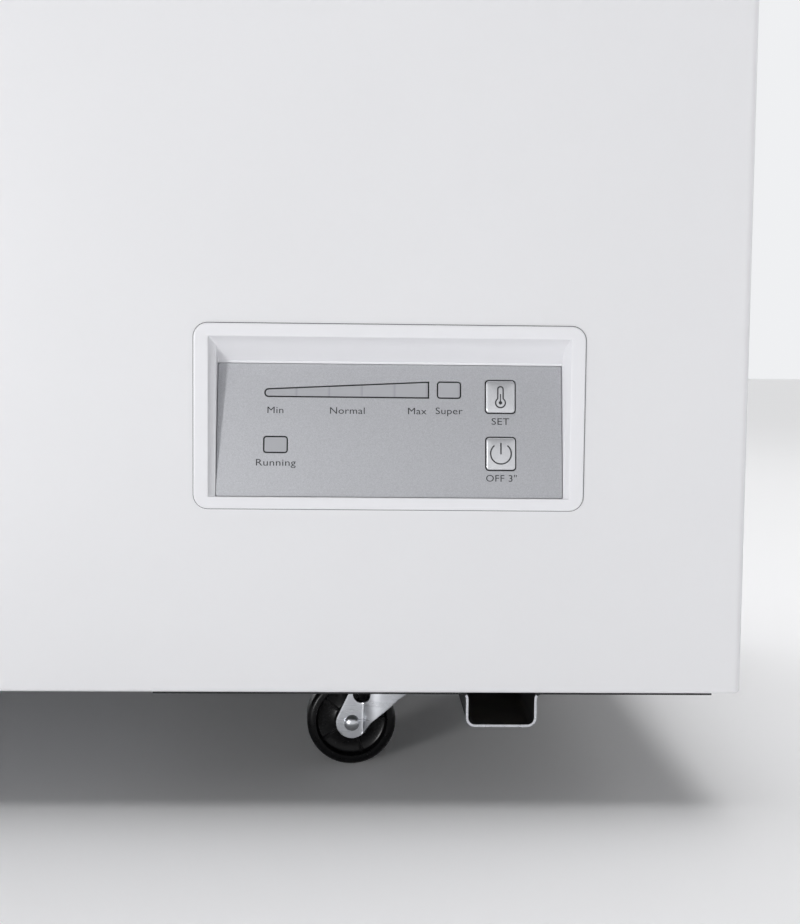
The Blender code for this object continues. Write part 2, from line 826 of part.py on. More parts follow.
def hinge_spring(side, middle):
    """Torsion spring round the pin, left of the leaf's barrel."""
    wire, radius, turns, per_turn = 0.0008, 0.0050, 5, 9
    start = middle - 0.0225
    pitch = 0.0021
    points = []
    for i in range(turns * per_turn + 1):
        angle = 2 * math.pi * i / per_turn
        along = start + pitch * i / per_turn
        place = (along, HINGE_Y + radius * math.sin(angle), HINGE_Z - radius * math.cos(angle))
        points.append(place)
    tube("hinge_spring_" + side, points, wire, zinc_steel("spring_steel_" + side), 0)


# ---- Casters ----


def caster_plate(name):
    """Square plate with the kingpin that the fork turns on."""
    half = CASTER_PLATE_HALF
    low = CASTER_PLATE_TOP - CASTER_PLATE
    outline = rounded_rectangle(-half, -half, 2 * half, 2 * half, 0.004, 2)
    plate = prism(name, outline, "Z", low, CASTER_PLATE_TOP, zinc_steel(name + "_zinc"))
    under = FORK_TOP - FORK_SHEET - GAP
    profile = [
        (0.0, low + 0.001),
        (0.0120, low + 0.001),
        (0.0105, FORK_TOP + GAP),
        (KINGPIN_R, FORK_TOP + GAP),
        (KINGPIN_R, under),
        (0.0060, under),
        (0.0060, under - 0.0006),
        (0.0, under - 0.0006),
    ]
    return weld(plate, turned("kingpin", profile, 16))


def fork_side():
    """Side view: a round foot at the axle, a leaning front edge, and a rear edge up to the cap."""
    lean = 25.6
    slope = math.tan(math.radians(lean))
    foot = arc((-TRAIL, WHEEL_R), FORK_FOOT_R, 180 - lean, 311, 7)
    front_top = (foot[0][0] + (CAP_LOW - foot[0][1]) * slope, CAP_LOW)
    rear = [(-0.0098, WHEEL_R + 0.0006), (0.0055, WHEEL_R + 0.0140), (CAP_R + 0.001, WHEEL_R + 0.0205)]
    crown = [(CAP_R + 0.001, FORK_TOP + 0.001), (-CAP_R - 0.001, FORK_TOP + 0.001), (-CAP_R - 0.001, CAP_LOW)]
    return foot + rear + crown + [front_top]


def caster_fork(name):
    """A round cap over the bearing whose skirt runs down into two flat legs."""
    inside = CAP_R - FORK_SHEET
    profile = [
        (KINGPIN_R + GAP, FORK_TOP),
        (CAP_R - 0.001, FORK_TOP),
        (CAP_R, FORK_TOP - 0.001),
        (CAP_R, 0.010),
        (inside, 0.010),
        (inside, FORK_TOP - FORK_SHEET),
        (KINGPIN_R + GAP, FORK_TOP - FORK_SHEET),
    ]
    fork = turned(name, profile, 20, zinc_steel(name + "_zinc"))
    legs = []
    for low, high in ((-FORK_HALF - FORK_SHEET, -FORK_HALF), (FORK_HALF, FORK_HALF + FORK_SHEET)):
        legs.append(box("leg", (-TRAIL - 0.014, low, 0.012), (-0.0126, high, FORK_TOP - 0.0007)))
    weld(fork, *legs)
    common(fork, prism("fork_side", fork_side(), "Y", -0.03, 0.03))
    bores = (
        box("wheel_space", (-0.05, -FORK_HALF, 0.0), (-0.0110, FORK_HALF, CAP_LOW)),
        cylinder("axle_bore", (-TRAIL, 0.0, WHEEL_R), AXLE_R + GAP, 0.05, "Y", 12),
        cylinder("window", (-TRAIL + 0.0052, 0.0, WHEEL_R + 0.0160), 0.0048, 0.05, "Y", 12),
    )
    cut(fork, *bores)
    smooth(fork)
    return fork


def caster_axle(name):
    """Rivet with a domed head on each end."""
    face = FORK_HALF + FORK_SHEET + GAP
    profile = [
        (0.0, face + 0.0030),
        (0.0022, face + 0.0026),
        (0.0039, face + 0.0014),
        (0.0045, face),
        (AXLE_R, face),
        (AXLE_R, -face),
        (0.0045, -face),
        (0.0039, -face - 0.0014),
        (0.0, -face - 0.0026),
    ]
    return turned(name, profile, 14, zinc_steel(name + "_zinc"), "Y")


def caster_wheel(name):
    """One moulding: round-shouldered tread, dished web on both faces, hub with a bore."""
    half = WHEEL_HALF
    tread = WHEEL_R / math.cos(math.pi / WHEEL_SIDES)
    right = [
        (AXLE_R + GAP, half - 0.0002),
        (0.0085, half - 0.0002),
        (0.0100, half - 0.0050),
        (0.0180, half - 0.0050),
        (0.0200, half - 0.0002),
        (tread - 0.0016, half - 0.0014),
        (tread, half - 0.0055),
    ]
    left = [(radius, -height) for radius, height in reversed(right)]
    return turned(name, right + left, WHEEL_SIDES, dark_plastic(name + "_black"), "Y")


def casters():
    """Four casters from one set of meshes. Each fork and wheel stands on its joint's axis."""
    places = {
        "front_right": (SWIVEL_X, FRONT_SWIVEL_Y),
        "front_left": (-SWIVEL_X, FRONT_SWIVEL_Y),
        "rear_right": (SWIVEL_X, REAR_SWIVEL_Y),
        "rear_left": (-SWIVEL_X, REAR_SWIVEL_Y),
    }
    makers = {"plate": caster_plate, "fork": caster_fork, "axle": caster_axle, "wheel": caster_wheel}
    first = {}
    for corner, (x, y) in places.items():
        swivel = empty("swivel_" + corner, (x, y, 0.0), (0.0, 0.0, math.radians(REST_TURNS[corner])))
        for part, maker in makers.items():
            name = f"caster_{part}_{corner}"
            piece = copy_of(first[part], name) if part in first else maker(name)
            first.setdefault(part, piece)
            if part == "plate":
                piece.location = (x, y, 0.0)
                continue
            piece.parent = swivel
            if part in ("axle", "wheel"):
                piece.location = (-TRAIL, 0.0, WHEEL_R)


# ---- Control panel ----


def fascia_point(along, up, back=0.0):
    """World place of a point on the tilted fascia, from its lower left corner."""
    tilt = FASCIA_TILT
    return Vector(
        (
            FASCIA_LEFT + along,
            FASCIA_FOOT_Y + up * math.sin(tilt) + back * math.cos(tilt),
            FASCIA_BOTTOM + up * math.cos(tilt) - back * math.sin(tilt),
        )
    )


def control_bezel():
    """Frame with round corners, and a pocket whose ceiling slopes down to the tilted fascia."""
    outline = rounded_rectangle(BEZEL_LEFT, BEZEL_BOTTOM, BEZEL_WIDTH, BEZEL_HEIGHT, BEZEL_CORNER, 4)
    white = white_plastic("bezel_white")
    bezel = prism("control_bezel", outline, "Y", FRONT_Y - BEZEL_PROUD, FRONT_Y - GAP, white)
    step = 0.0045
    box_back = FRONT_Y + 0.022
    spigot = box(
        "spigot",
        (BEZEL_LEFT + step, FRONT_Y - 0.001, BEZEL_BOTTOM + step),
        (BEZEL_LEFT + BEZEL_WIDTH - step, box_back, BEZEL_BOTTOM + BEZEL_HEIGHT - step),
    )
    weld(bezel, spigot)
    open_low = BEZEL_BOTTOM + BEZEL_FOOT
    open_high = BEZEL_BOTTOM + BEZEL_HEIGHT - BEZEL_HEAD
    head = fascia_point(0.0, FASCIA_HEIGHT + 0.0006)
    foot = fascia_point(0.0, -0.0004)
    pocket = [
        (FRONT_Y - 0.01, open_low),
        (foot.y, open_low),
        (head.y, head.z),
        (FRONT_Y - BEZEL_PROUD, open_high),
        (FRONT_Y - 0.01, open_high),
    ]
    left, right = FASCIA_LEFT - GAP, FASCIA_LEFT + FASCIA_WIDTH + GAP
    pocket_cut = prism("pocket", pocket, "X", left, right)
    tray = [(place.y, place.z) for place in (
        fascia_point(0.0, -GAP, -0.0002),
        fascia_point(0.0, FASCIA_HEIGHT + GAP, -0.0002),
        fascia_point(0.0, FASCIA_HEIGHT + GAP, 0.03),
        fascia_point(0.0, -GAP, 0.03),
    )]
    tray_cut = prism("tray", tray, "X", left, right)
    cut(bezel, pocket_cut, tray_cut, flare())


def flare():
    """Cutter for the sloping inner edge at both ends of the pocket."""
    near = FRONT_Y - BEZEL_PROUD - GAP
    far = FRONT_Y + 0.0035
    wide_left, wide_right = BEZEL_LEFT + BEZEL_SIDE, BEZEL_LEFT + BEZEL_WIDTH - BEZEL_SIDE
    thin_left, thin_right = FASCIA_LEFT, FASCIA_LEFT + FASCIA_WIDTH
    outline = [(wide_left, near), (wide_right, near), (thin_right, far), (thin_left, far)]
    low = BEZEL_BOTTOM + BEZEL_FOOT + 0.0002
    return prism("flare", outline, "Z", low, BEZEL_BOTTOM + BEZEL_HEIGHT - BEZEL_HEAD - 0.0002)


def level_outline(grow):
    """Wedge with a round narrow end and square wide end."""
    low = LEVEL_BOTTOM - grow
    narrow = LEVEL_LOW / 2
    outline = [(LEVEL_RIGHT + grow, low), (LEVEL_RIGHT + grow, LEVEL_BOTTOM + LEVEL_HIGH + grow)]
    outline += arc((LEVEL_LEFT + narrow, LEVEL_BOTTOM + narrow), narrow + grow, 90, 270, 4)
    return outline


def window_outline(window, grow):
    left, low, width, height = window
    return rounded_rectangle(
        left - grow, low - grow, width + 2 * grow, height + 2 * grow, WINDOW_CORNER + grow, 2
    )


def key_outline(corner, grow):
    return rounded_rectangle(
        corner[0] - grow, corner[1] - grow, KEY_WIDTH + 2 * grow, KEY_HEIGHT + 2 * grow, KEY_CORNER + grow, 2
    )


def control_parts(frame):
    """Fascia, its three light windows, two keys and the board, in the fascia's own tilted frame."""
    fascia = box(
        "control_fascia",
        (0.0, 0.0, 0.0),
        (FASCIA_WIDTH, FASCIA_SHEET, FASCIA_HEIGHT),
        silver_plastic("fascia_silver"),
    )
    holes = [level_outline(GAP), window_outline(SUPER_WINDOW, GAP), window_outline(RUNNING_WINDOW, GAP)]
    holes += [key_outline(SET_KEY, GAP), key_outline(OFF_KEY, GAP)]
    cut(fascia, *[prism("fascia_hole", hole, "Y", -0.01, 0.01) for hole in holes])
    pane = finish("window_pane", (0.42, 0.43, 0.45), 0.2)
    depth = FASCIA_SHEET + 0.0010
    lens = prism("level_lens", level_outline(0.0), "Y", 0.0001, depth, pane)
    super_pane = prism("super_pane", window_outline(SUPER_WINDOW, 0.0), "Y", 0.0001, depth)
    strip = box(
        "lens_strip",
        (LEVEL_LEFT + 0.004, FASCIA_SHEET + GAP, LEVEL_BOTTOM + 0.0006),
        (SUPER_WINDOW[0] + 0.008, depth - 0.0001, LEVEL_BOTTOM + 0.0034),
    )
    weld(lens, super_pane, strip)
    running = prism("running_lens", window_outline(RUNNING_WINDOW, 0.0), "Y", 0.0001, depth, pane)
    for piece in (fascia, lens, running, control_board()):
        piece.parent = frame
    for name, corner in (("set_button", SET_KEY), ("off_button", OFF_KEY)):
        key(name, corner, frame)


def key(name, corner, frame):
    """A keycap on a stem that ends above its switch. Its origin is on its own middle."""
    middle = (corner[0] + KEY_WIDTH / 2, corner[1] + KEY_HEIGHT / 2)
    outline = [(x - middle[0], z - middle[1]) for x, z in key_outline(corner, 0.0)]
    cap = prism(name, outline, "Y", -KEY_PROUD, FASCIA_SHEET + 0.0010, silver_plastic(name + "_silver"))
    bevel_edges(cap, 0.0006, 2, lambda a, b: max(a.y, b.y) < -KEY_PROUD + 1e-5)
    stem_end = BOARD_BACK - SWITCH_RISE - KEY_TRAVEL - GAP
    weld(cap, box("stem", (-0.002, FASCIA_SHEET, -0.002), (0.002, stem_end, 0.002)))
    smooth(cap)
    cap.location = (middle[0], 0.0, middle[1])
    cap.parent = frame


def control_board():
    """Printed board with its lamps and two push switches soldered on."""
    board = box(
        "control_board",
        (0.004, BOARD_BACK, 0.006),
        (FASCIA_WIDTH - 0.004, BOARD_BACK + BOARD_SHEET, FASCIA_HEIGHT - 0.006),
        finish("board_green", (0.03, 0.20, 0.08), 0.5),
    )
    lamps = [(LEVEL_LEFT + 0.006 + 0.0175 * i, LEVEL_BOTTOM + 0.003) for i in range(5)]
    lamps += [(SUPER_WINDOW[0] + 0.0058, SUPER_WINDOW[1] + 0.004)]
    lamps += [(RUNNING_WINDOW[0] + 0.0059, RUNNING_WINDOW[1] + 0.004)]
    tools = []
    for x, z in lamps:
        low = (x - 0.0018, BOARD_BACK - 0.0040, z - 0.0015)
        high = (x + 0.0018, BOARD_BACK + 0.0005, z + 0.0015)
        tools.append(box("lamp", low, high))
    for corner in (SET_KEY, OFF_KEY):
        x, z = corner[0] + KEY_WIDTH / 2, corner[1] + KEY_HEIGHT / 2
        low = (x - 0.003, BOARD_BACK - SWITCH_RISE, z - 0.003)
        high = (x + 0.003, BOARD_BACK + 0.0005, z + 0.003)
        tools.append(box("switch", low, high))
    return weld(board, *tools)


def control_housing():
    """Rear tray behind the bezel that covers the board."""
    edge = 0.0060
    low = (BEZEL_LEFT + edge, FRONT_Y + 0.0225, BEZEL_BOTTOM + edge)
    high = (BEZEL_LEFT + BEZEL_WIDTH - edge, FRONT_Y + 0.0440, BEZEL_BOTTOM + BEZEL_HEIGHT - edge)
    tray = box("control_housing", low, high, white_plastic("housing_white"))
    wall = 0.0018
    space = box(
        "housing_space",
        (low[0] + wall, low[1] - 0.01, low[2] + wall),
        (high[0] - wall, high[1] - wall, high[2] - wall),
    )
    cut(tray, space)


# ---- Machine compartment ----


def foot_places():
    return [(COMPRESSOR_X + i * FOOT_X, COMPRESSOR_Y + j * FOOT_Y) for i in (-1, 1) for j in (-1, 1)]


def compressor():
    """Welded steel shell on a cross-shaped foot plate."""
    seat = BASE_TOP + GROMMET_HEIGHT * 0.55
    low = seat + 0.006
    middle = low + (COMPRESSOR_TOP - low) * 0.48
    radius = COMPRESSOR_R
    profile = [(0.0, COMPRESSOR_TOP)]
    rise = COMPRESSOR_TOP - middle - 0.02
    for angle in (0.4, 0.8, 1.2):
        profile.append((radius * math.sin(angle), middle + 0.02 + rise * math.cos(angle)))
    profile += [
        (radius, middle + 0.012),
        (radius + 0.003, middle + 0.006),
        (radius + 0.003, middle),
        (radius - 0.002, middle - 0.004),
        (radius - 0.003, low + 0.035),
        (radius * 0.86, low + 0.012),
        (radius * 0.60, low),
        (0.0, low),
    ]
    shell = turned("compressor", profile, 20, dark_plastic("compressor_black"))
    shell.data.transform(Matrix.Translation((COMPRESSOR_X, COMPRESSOR_Y, 0.0)))
    plate = 0.0025
    outline = rounded_rectangle(
        COMPRESSOR_X - FOOT_X - 0.014,
        COMPRESSOR_Y - FOOT_Y - 0.014,
        2 * FOOT_X + 0.028,
        2 * FOOT_Y + 0.028,
        0.008,
        2
    )
    foot = prism("foot_plate", outline, "Z", seat + GAP, seat + GAP + plate)
    neck = box(
        "shell_neck",
        (COMPRESSOR_X - 0.031, COMPRESSOR_Y - 0.045, seat + 0.001),
        (COMPRESSOR_X + 0.031, COMPRESSOR_Y + 0.045, seat + 0.011),
    )
    holes = [cylinder("foot_hole", (x, y, seat), 0.0075, 0.02, "Z", 12) for x, y in foot_places()]
    weld(shell, neck, foot)
    cut(shell, *holes)
    smooth(shell)
    for index, (x, y) in enumerate(foot_places(), 1):
        grommet(index, x, y, seat)


def grommet(index, x, y, seat):
    """Rubber mount: a wide foot under the plate and a narrow neck through it."""
    base = BASE_TOP + GAP
    profile = [
        (STUD_R + GAP, BASE_TOP + GROMMET_HEIGHT),
        (0.0070, BASE_TOP + GROMMET_HEIGHT),
        (0.0070, seat - GAP),
        (GROMMET_R, seat - GAP),
        (GROMMET_R, base),
        (STUD_R + GAP, base),
    ]
    piece = turned(f"compressor_grommet_{index}", profile, 12, rubber(f"grommet_rubber_{index}"))
    piece.location = (x, y, 0.0)


def terminal_cover():
    """Cover of the start relay on the shell's side."""
    edge = COMPRESSOR_X - COMPRESSOR_R - 0.0045
    box(
        "terminal_cover",
        (edge - 0.030, COMPRESSOR_Y - 0.028, 0.118),
        (edge, COMPRESSOR_Y + 0.028, 0.180),
        dark_plastic("terminal_black"),
    )


def filter_drier():
    profile = [
        (0.0, 0.055),
        (0.0035, 0.055),
        (0.0045, 0.047),
        (0.0095, 0.038),
        (0.0095, -0.038),
        (0.0045, -0.047),
        (0.0035, -0.055),
        (0.0, -0.055),
    ]
    drier = turned("filter_drier", profile, 14, copper("drier_copper"))
    drier.location = (SIDE - 0.045, -0.110, 0.200)


def loop_round(half_x, half_y, low, pitch, turns):
    """Corner points of a square helix about the cabinet's middle."""
    points = []
    corners = ((1, 1), (-1, 1), (-1, -1), (1, -1))
    for i in range(turns * 4 + 1):
        sign = corners[i % 4]
        points.append((sign[0] * half_x, MIDDLE_Y + sign[1] * half_y, low + pitch * i / 4))
    points[-1] = Vector(points[-2]).lerp(Vector(points[-1]), 0.7)  # it ends on the right side's run
    return points


def evaporator():
    """Cold tube round the liner, with the suction line back down to the compressor."""
    grow = LINER_SHEET + COLD_JACKET / 2
    helix = loop_round(CABIN_X + grow, CABIN_Y + grow, STEP_TOP + 0.030, 0.064, 5)
    riser_x, riser_y = CABIN_X + grow, 0.145
    join = (riser_x, riser_y + 0.025, STEP_TOP + 0.023)
    start = [
        (COMPRESSOR_X + 0.030, riser_y + 0.060, COMPRESSOR_TOP + 0.030),
        (riser_x, riser_y + 0.060, COMPRESSOR_TOP + 0.030),
        (riser_x, riser_y, COMPRESSOR_TOP + 0.045),
        (riser_x, riser_y, STEP_TOP + 0.020),
        join,
    ]
    path = filleted(start, 0.010, 2)[:-1] + filleted([join] + helix, LINER_CORNER + grow, 3)
    tube("evaporator_tube", path, 0.0035, finish("evaporator_alu", (0.6, 0.6, 0.62), 0.35, 1.0))


def condenser():
    """Warm tube behind the painted skin, from the compressor to the drier."""
    inset = SHEET + WARM_JACKET / 2
    half_y = (BACK_Y - FRONT_Y) / 2 - inset
    helix = loop_round(SIDE - inset, half_y, 0.370, 0.100, 3)
    start = [
        (SIDE - 0.040, 0.200, 0.260),
        (SIDE - inset, 0.200, 0.275),
        (SIDE - inset, 0.200, 0.355),
    ]
    path = filleted(start + helix, 0.010, 2)
    tube("condenser_tube", path, 0.0024, finish("condenser_steel", (0.35, 0.35, 0.36), 0.4, 1.0))


def vent_grille():
    """Louvred frame in the right side."""
    reach = 0.010
    low = (SIDE + GAP, VENT_Y[0] - reach, VENT_Z[0] - reach)
    high = (SIDE + SIDE_TRIM, VENT_Y[1] + reach, VENT_Z[1] + reach)
    grille = box("vent_grille", low, high, white_plastic("vent_white"))
    bevel_edges(grille, 0.003, 2, lambda a, b: min(a.x, b.x) > SIDE + SIDE_TRIM - 1e-5)
    count, bar = 9, 0.005
    pitch = (VENT_Z[1] - VENT_Z[0]) / count
    slots = []
    for i in range(count):
        bottom = VENT_Z[0] + pitch * i
        low = (SIDE - 0.01, VENT_Y[0], bottom + bar / 2)
        high = (SIDE + 0.02, VENT_Y[1], bottom + pitch - bar / 2)
        slot = box(f"slot_{i}", low, high)
        slots.append(slot)
    cut(grille, *slots)


def rear_hatch():
    """Cover over the machine compartment's back, with air slots and the hole for the gland."""
    reach = 0.008
    hatch = box(
        "rear_cover",
        (HATCH_X[0] - reach, BACK_Y + GAP, HATCH_Z[0] - reach),
        (HATCH_X[1] + reach, BACK_Y + GAP + 0.0015, HATCH_Z[1] + reach),
        zinc_steel("rear_cover_zinc"),
    )
    tools = []
    for i in range(7):
        bottom = HATCH_Z[0] + 0.080 + 0.019 * i
        low = (HATCH_X[0] + 0.030, BACK_Y - 0.01, bottom)
        high = (HATCH_X[1] - 0.030, BACK_Y + 0.01, bottom + 0.008)
        tools.append(box(f"slot_{i}", low, high))
    tools.append(cylinder("gland_hole", (GLAND_X, BACK_Y, GLAND_Z), 0.0075 + GAP, 0.03, "Y", 14))
    cut(hatch, *tools)


def cord_gland():
    """Inlet bush in the rear cover where the mains lead enters."""
    profile = [
        (0.0035, 0.0120),
        (0.0060, 0.0120),
        (0.0110, 0.0055),
        (0.0110, 0.0021),
        (0.0075, 0.0021),
        (0.0075, -0.0060),
        (0.0035, -0.0060),
    ]
    gland = turned("cord_gland", profile, 14, dark_plastic("gland_black"), "Y")
    gland.location = (GLAND_X, BACK_Y, GLAND_Z)


# ---- Basket ----


def wire_basket():
    """Hanging basket from square wire mesh. Two strips at its ends rest on the rim's ledge."""
    cells = (5, 6, 3)
    half_x, half_y = BASKET_HALF
    top, low = BASKET_TOP, BASKET_TOP - BASKET_DEPTH
    hook_y = CABIN_Y - RIM_LIP - 0.0035
    rows = [-hook_y] + [-half_y + 2 * half_y * j / cells[1] for j in range(cells[1] + 1)] + [hook_y]
    columns = [-half_x + 2 * half_x * i / cells[0] for i in range(cells[0] + 1)]
    levels = [top - BASKET_DEPTH * k / cells[2] for k in range(cells[2] + 1)]
    bm = bmesh.new()
    known = {}

    def corner(x, y, z):
        key_of = (round(x, 6), round(y, 6), round(z, 6))
        if key_of not in known:
            known[key_of] = bm.verts.new((BASKET_X + x, MIDDLE_Y + y, z))
        return known[key_of]

    for x0, x1 in zip(columns, columns[1:]):
        for y0, y1 in zip(rows[1:-1], rows[2:-1]):
            bm.faces.new([corner(x, y, low) for x, y in ((x0, y0), (x1, y0), (x1, y1), (x0, y1))])
        for z0, z1 in zip(levels, levels[1:]):
            for y in (-half_y, half_y):
                bm.faces.new([corner(x, y, z) for x, z in ((x0, z0), (x1, z0), (x1, z1), (x0, z1))])
        for y0, y1 in (rows[:2], rows[-2:]):
            bm.faces.new([corner(x, y, top) for x, y in ((x0, y0), (x1, y0), (x1, y1), (x0, y1))])
    for y0, y1 in zip(rows[1:-1], rows[2:-1]):
        for z0, z1 in zip(levels, levels[1:]):
            for x in (-half_x, half_x):
                bm.faces.new([corner(x, y, z) for y, z in ((y0, z0), (y1, z0), (y1, z1), (y0, z1))])
    basket = object_from(bm, "wire_basket", finish("basket_white", (0.8, 0.8, 0.8), 0.4))
    wires = basket.modifiers.new("wires", "WIREFRAME")
    wires.thickness = BASKET_WIRE
    wires.use_even_offset = False
    wires.use_boundary = True
    wires.use_replace = True
    settle(basket)


def main():
    clear_scene()
    cabinet_wrap()
    back_panel()
    foam_insulation()
    inner_liner()
    rim_frame()
    bottom_panel()
    base_plates()
    drain()
    lid(hinge_set())
    casters()
    control_bezel()
    control_parts(empty("fascia_frame", fascia_point(0.0, 0.0), (-FASCIA_TILT, 0.0, 0.0)))
    control_housing()
    compressor()
    terminal_cover()
    filter_drier()
    evaporator()
    condenser()
    vent_grille()
    rear_hatch()
    cord_gland()
    wire_basket()


main()
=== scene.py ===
import json
import math

import bmesh
import bpy
import numpy as np
from mathutils import Matrix, Vector


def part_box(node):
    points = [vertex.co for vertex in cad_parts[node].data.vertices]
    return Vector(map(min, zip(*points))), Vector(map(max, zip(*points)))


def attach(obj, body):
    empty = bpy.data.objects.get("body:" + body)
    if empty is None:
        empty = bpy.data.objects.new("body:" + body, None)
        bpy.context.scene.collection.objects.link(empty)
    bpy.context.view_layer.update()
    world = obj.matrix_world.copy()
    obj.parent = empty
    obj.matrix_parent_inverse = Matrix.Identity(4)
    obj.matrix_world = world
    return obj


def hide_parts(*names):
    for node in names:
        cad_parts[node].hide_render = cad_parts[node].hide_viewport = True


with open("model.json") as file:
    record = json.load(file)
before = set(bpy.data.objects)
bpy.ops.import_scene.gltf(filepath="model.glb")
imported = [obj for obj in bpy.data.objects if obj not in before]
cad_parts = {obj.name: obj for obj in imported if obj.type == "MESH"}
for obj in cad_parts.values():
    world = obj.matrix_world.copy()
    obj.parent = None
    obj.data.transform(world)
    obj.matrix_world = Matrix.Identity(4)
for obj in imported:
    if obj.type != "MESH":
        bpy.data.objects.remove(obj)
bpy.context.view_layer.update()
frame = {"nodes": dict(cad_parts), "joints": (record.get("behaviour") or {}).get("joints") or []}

# Chest freezer on casters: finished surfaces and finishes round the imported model.
# Lengths in the settings are millimetres. Everything stands in the frame's own metres.

mm = 0.001
pieceCount = 0
joints = {joint["name"]: joint for joint in frame["joints"]}
corners = [name[len("swivel_"):] for name in joints if name.startswith("swivel_")]


def linearColour(hexText):
    # each sRGB channel c turns linear: c / 12.92 below 0.04045, else ((c + 0.055) / 1.055) ^ 2.4
    channels = [int(hexText[i:i + 2], 16) / 255 for i in (1, 3, 5)]
    return tuple(c / 12.92 if c <= 0.04045 else ((c + 0.055) / 1.055) ** 2.4 for c in channels) + (1.0,)


def addNode(tree, kind, values=None, links=None, settings=None):
    # one shader node with its input values, its incoming links and its own settings
    node = tree.nodes.new(kind)
    for name, value in (settings or {}).items():
        setattr(node, name, value)
    for name, value in (values or {}).items():
        node.inputs[name].default_value = value
    for name, source in (links or {}).items():
        tree.links.new(source, node.inputs[name])
    return node


def ringPoints(left, right, low, high, radius, steps=6):
    # rounded rectangle: four quarter circles of one radius, joined by straight runs
    turns = np.radians(np.linspace(0, 90, steps + 1))
    cx = np.array([right - radius, left + radius, left + radius, right - radius])
    cy = np.array([high - radius, high - radius, low + radius, low + radius])
    angle = turns[None, :] + np.radians([0, 90, 180, 270])[:, None]
    x = cx[:, None] + radius * np.cos(angle)
    y = cy[:, None] + radius * np.sin(angle)
    return np.stack([x.ravel(), y.ravel()], axis=1)


def arcPoints(centre, radius, start, end, steps):
    # circle arc: centre + radius * (cos a, sin a), a running evenly from start to end degrees
    a = np.radians(np.linspace(start, end, steps + 1))
    return np.stack([centre[0] + radius * np.cos(a), centre[1] + radius * np.sin(a)], axis=1)


def gridPatch(points, closedRows=False, closedCols=False, keep=None):
    # one quad between each four neighbours of a grid of points; keep masks the cells that stay
    rows, cols = points.shape[:2]
    index = np.arange(rows * cols).reshape(rows, cols)
    if closedRows:
        index = np.vstack([index, index[:1]])
    if closedCols:
        index = np.hstack([index, index[:, :1]])
    quads = np.stack([index[:-1, :-1], index[:-1, 1:], index[1:, 1:], index[1:, :-1]], axis=-1)
    quads = quads[keep] if keep is not None else quads.reshape(-1, 4)
    return points.reshape(-1, 3), quads.tolist()


def ringStack(rings, capStart=False, capEnd=False, closedRows=False):
    # equal rings of points joined one after the next; a cap is one flat face across a ring
    rings = np.asarray(rings, dtype=float)
    points, faces = gridPatch(rings, closedRows, True)
    count = rings.shape[1]
    last = (rings.shape[0] - 1) * count
    faces += [list(range(count))[::-1]] if capStart else []
    faces += [[last + i for i in range(count)]] if capEnd else []
    return points, faces


def spunPatch(profile, sides, axis="z", centre=(0, 0, 0)):
    # surface of revolution: (r cos a, r sin a, h) for each profile point (r, h) and each angle a
    profile = np.asarray(profile, dtype=float)
    a = np.linspace(0, 2 * math.pi, sides, endpoint=False)
    r, h = profile[:, :1], profile[:, 1:2] + 0 * a[None, :]
    x, y = r * np.cos(a)[None, :], r * np.sin(a)[None, :]
    order = {"z": (x, y, h), "x": (h, x, y), "y": (y, h, x)}[axis]
    points, faces = gridPatch(np.stack(order, axis=-1), False, True)
    return points + np.asarray(centre), faces


def tubePatch(path, radius, sides=10, closed=False):
    # circle of one radius carried along a path: p + r (cos a * n + sin a * b), n and b square to the path
    path = np.asarray(path, dtype=float)
    if closed:
        along = np.roll(path, -1, axis=0) - np.roll(path, 1, axis=0)
    else:
        along = np.gradient(path, axis=0)
    along /= np.linalg.norm(along, axis=1)[:, None]
    helper = np.tile([0.0, 0.0, 1.0], (len(path), 1))
    helper[np.abs(along[:, 2]) > 0.75] = (1.0, 0.0, 0.0)
    flips = np.sign(np.sum(np.cross(helper, along) * np.roll(np.cross(helper, along), 1, axis=0), axis=1))
    n = np.cross(helper, along)
    n /= np.linalg.norm(n, axis=1)[:, None]
    if len(set(flips[1:])) > 1 or (np.abs(along[:, 2]) > 0.75).any():
        n = carriedNormals(along, n[0])
    b = np.cross(along, n)
    a = np.linspace(0, 2 * math.pi, sides, endpoint=False)
    circle = np.cos(a)[None, :, None] * n[:, None, :] + np.sin(a)[None, :, None] * b[:, None, :]
    rings = path[:, None, :] + radius * circle
    return ringStack(rings, not closed, not closed, closed)


def carriedNormals(along, first):
    # the first normal, turned as little as the path turns: each is the last one less its part along the path
    normals = [first]
    for direction in along[1:]:
        step = normals[-1] - np.dot(normals[-1], direction) * direction
        normals.append(step / np.linalg.norm(step))
    return np.array(normals)


def roundedPath(points, radius, steps=5):
    # straight runs whose square corners c are arcs: c + back * r * (1 - sin t) + ahead * r * (1 - cos t)
    points = [np.asarray(p, dtype=float) for p in points]
    t = np.linspace(0, math.pi / 2, steps + 1)[:, None]
    rows = [points[0][None, :]]
    for before, corner, after in zip(points, points[1:], points[2:]):
        back = (before - corner) / np.linalg.norm(before - corner)
        ahead = (after - corner) / np.linalg.norm(after - corner)
        rows.append(corner + radius * (back * (1 - np.sin(t)) + ahead * (1 - np.cos(t))))
    rows.append(points[-1][None, :])
    return np.vstack(rows)


def flatPatch(outlines, low, high, edge=0.0):
    # flat plate between two heights, from an outline and the outlines of its holes, with rounded edges
    curve = bpy.data.curves.new("outline", "CURVE")
    curve.dimensions = "2D"
    curve.fill_mode = "BOTH"
    for outline in outlines:
        spline = curve.splines.new("POLY")
        spline.points.add(len(outline) - 1)
        flat = np.hstack([outline * 1000, np.zeros((len(outline), 1)), np.ones((len(outline), 1))])
        spline.points.foreach_set("co", flat.ravel())
        spline.use_cyclic_u = True
    curve.extrude = (high - low) / 2 * 1000 - edge * 1000
    curve.bevel_depth = edge * 1000
    curve.bevel_resolution = 2
    curve.offset = -edge * 1000
    return curvePatch(curve, mm, (low + high) / 2)


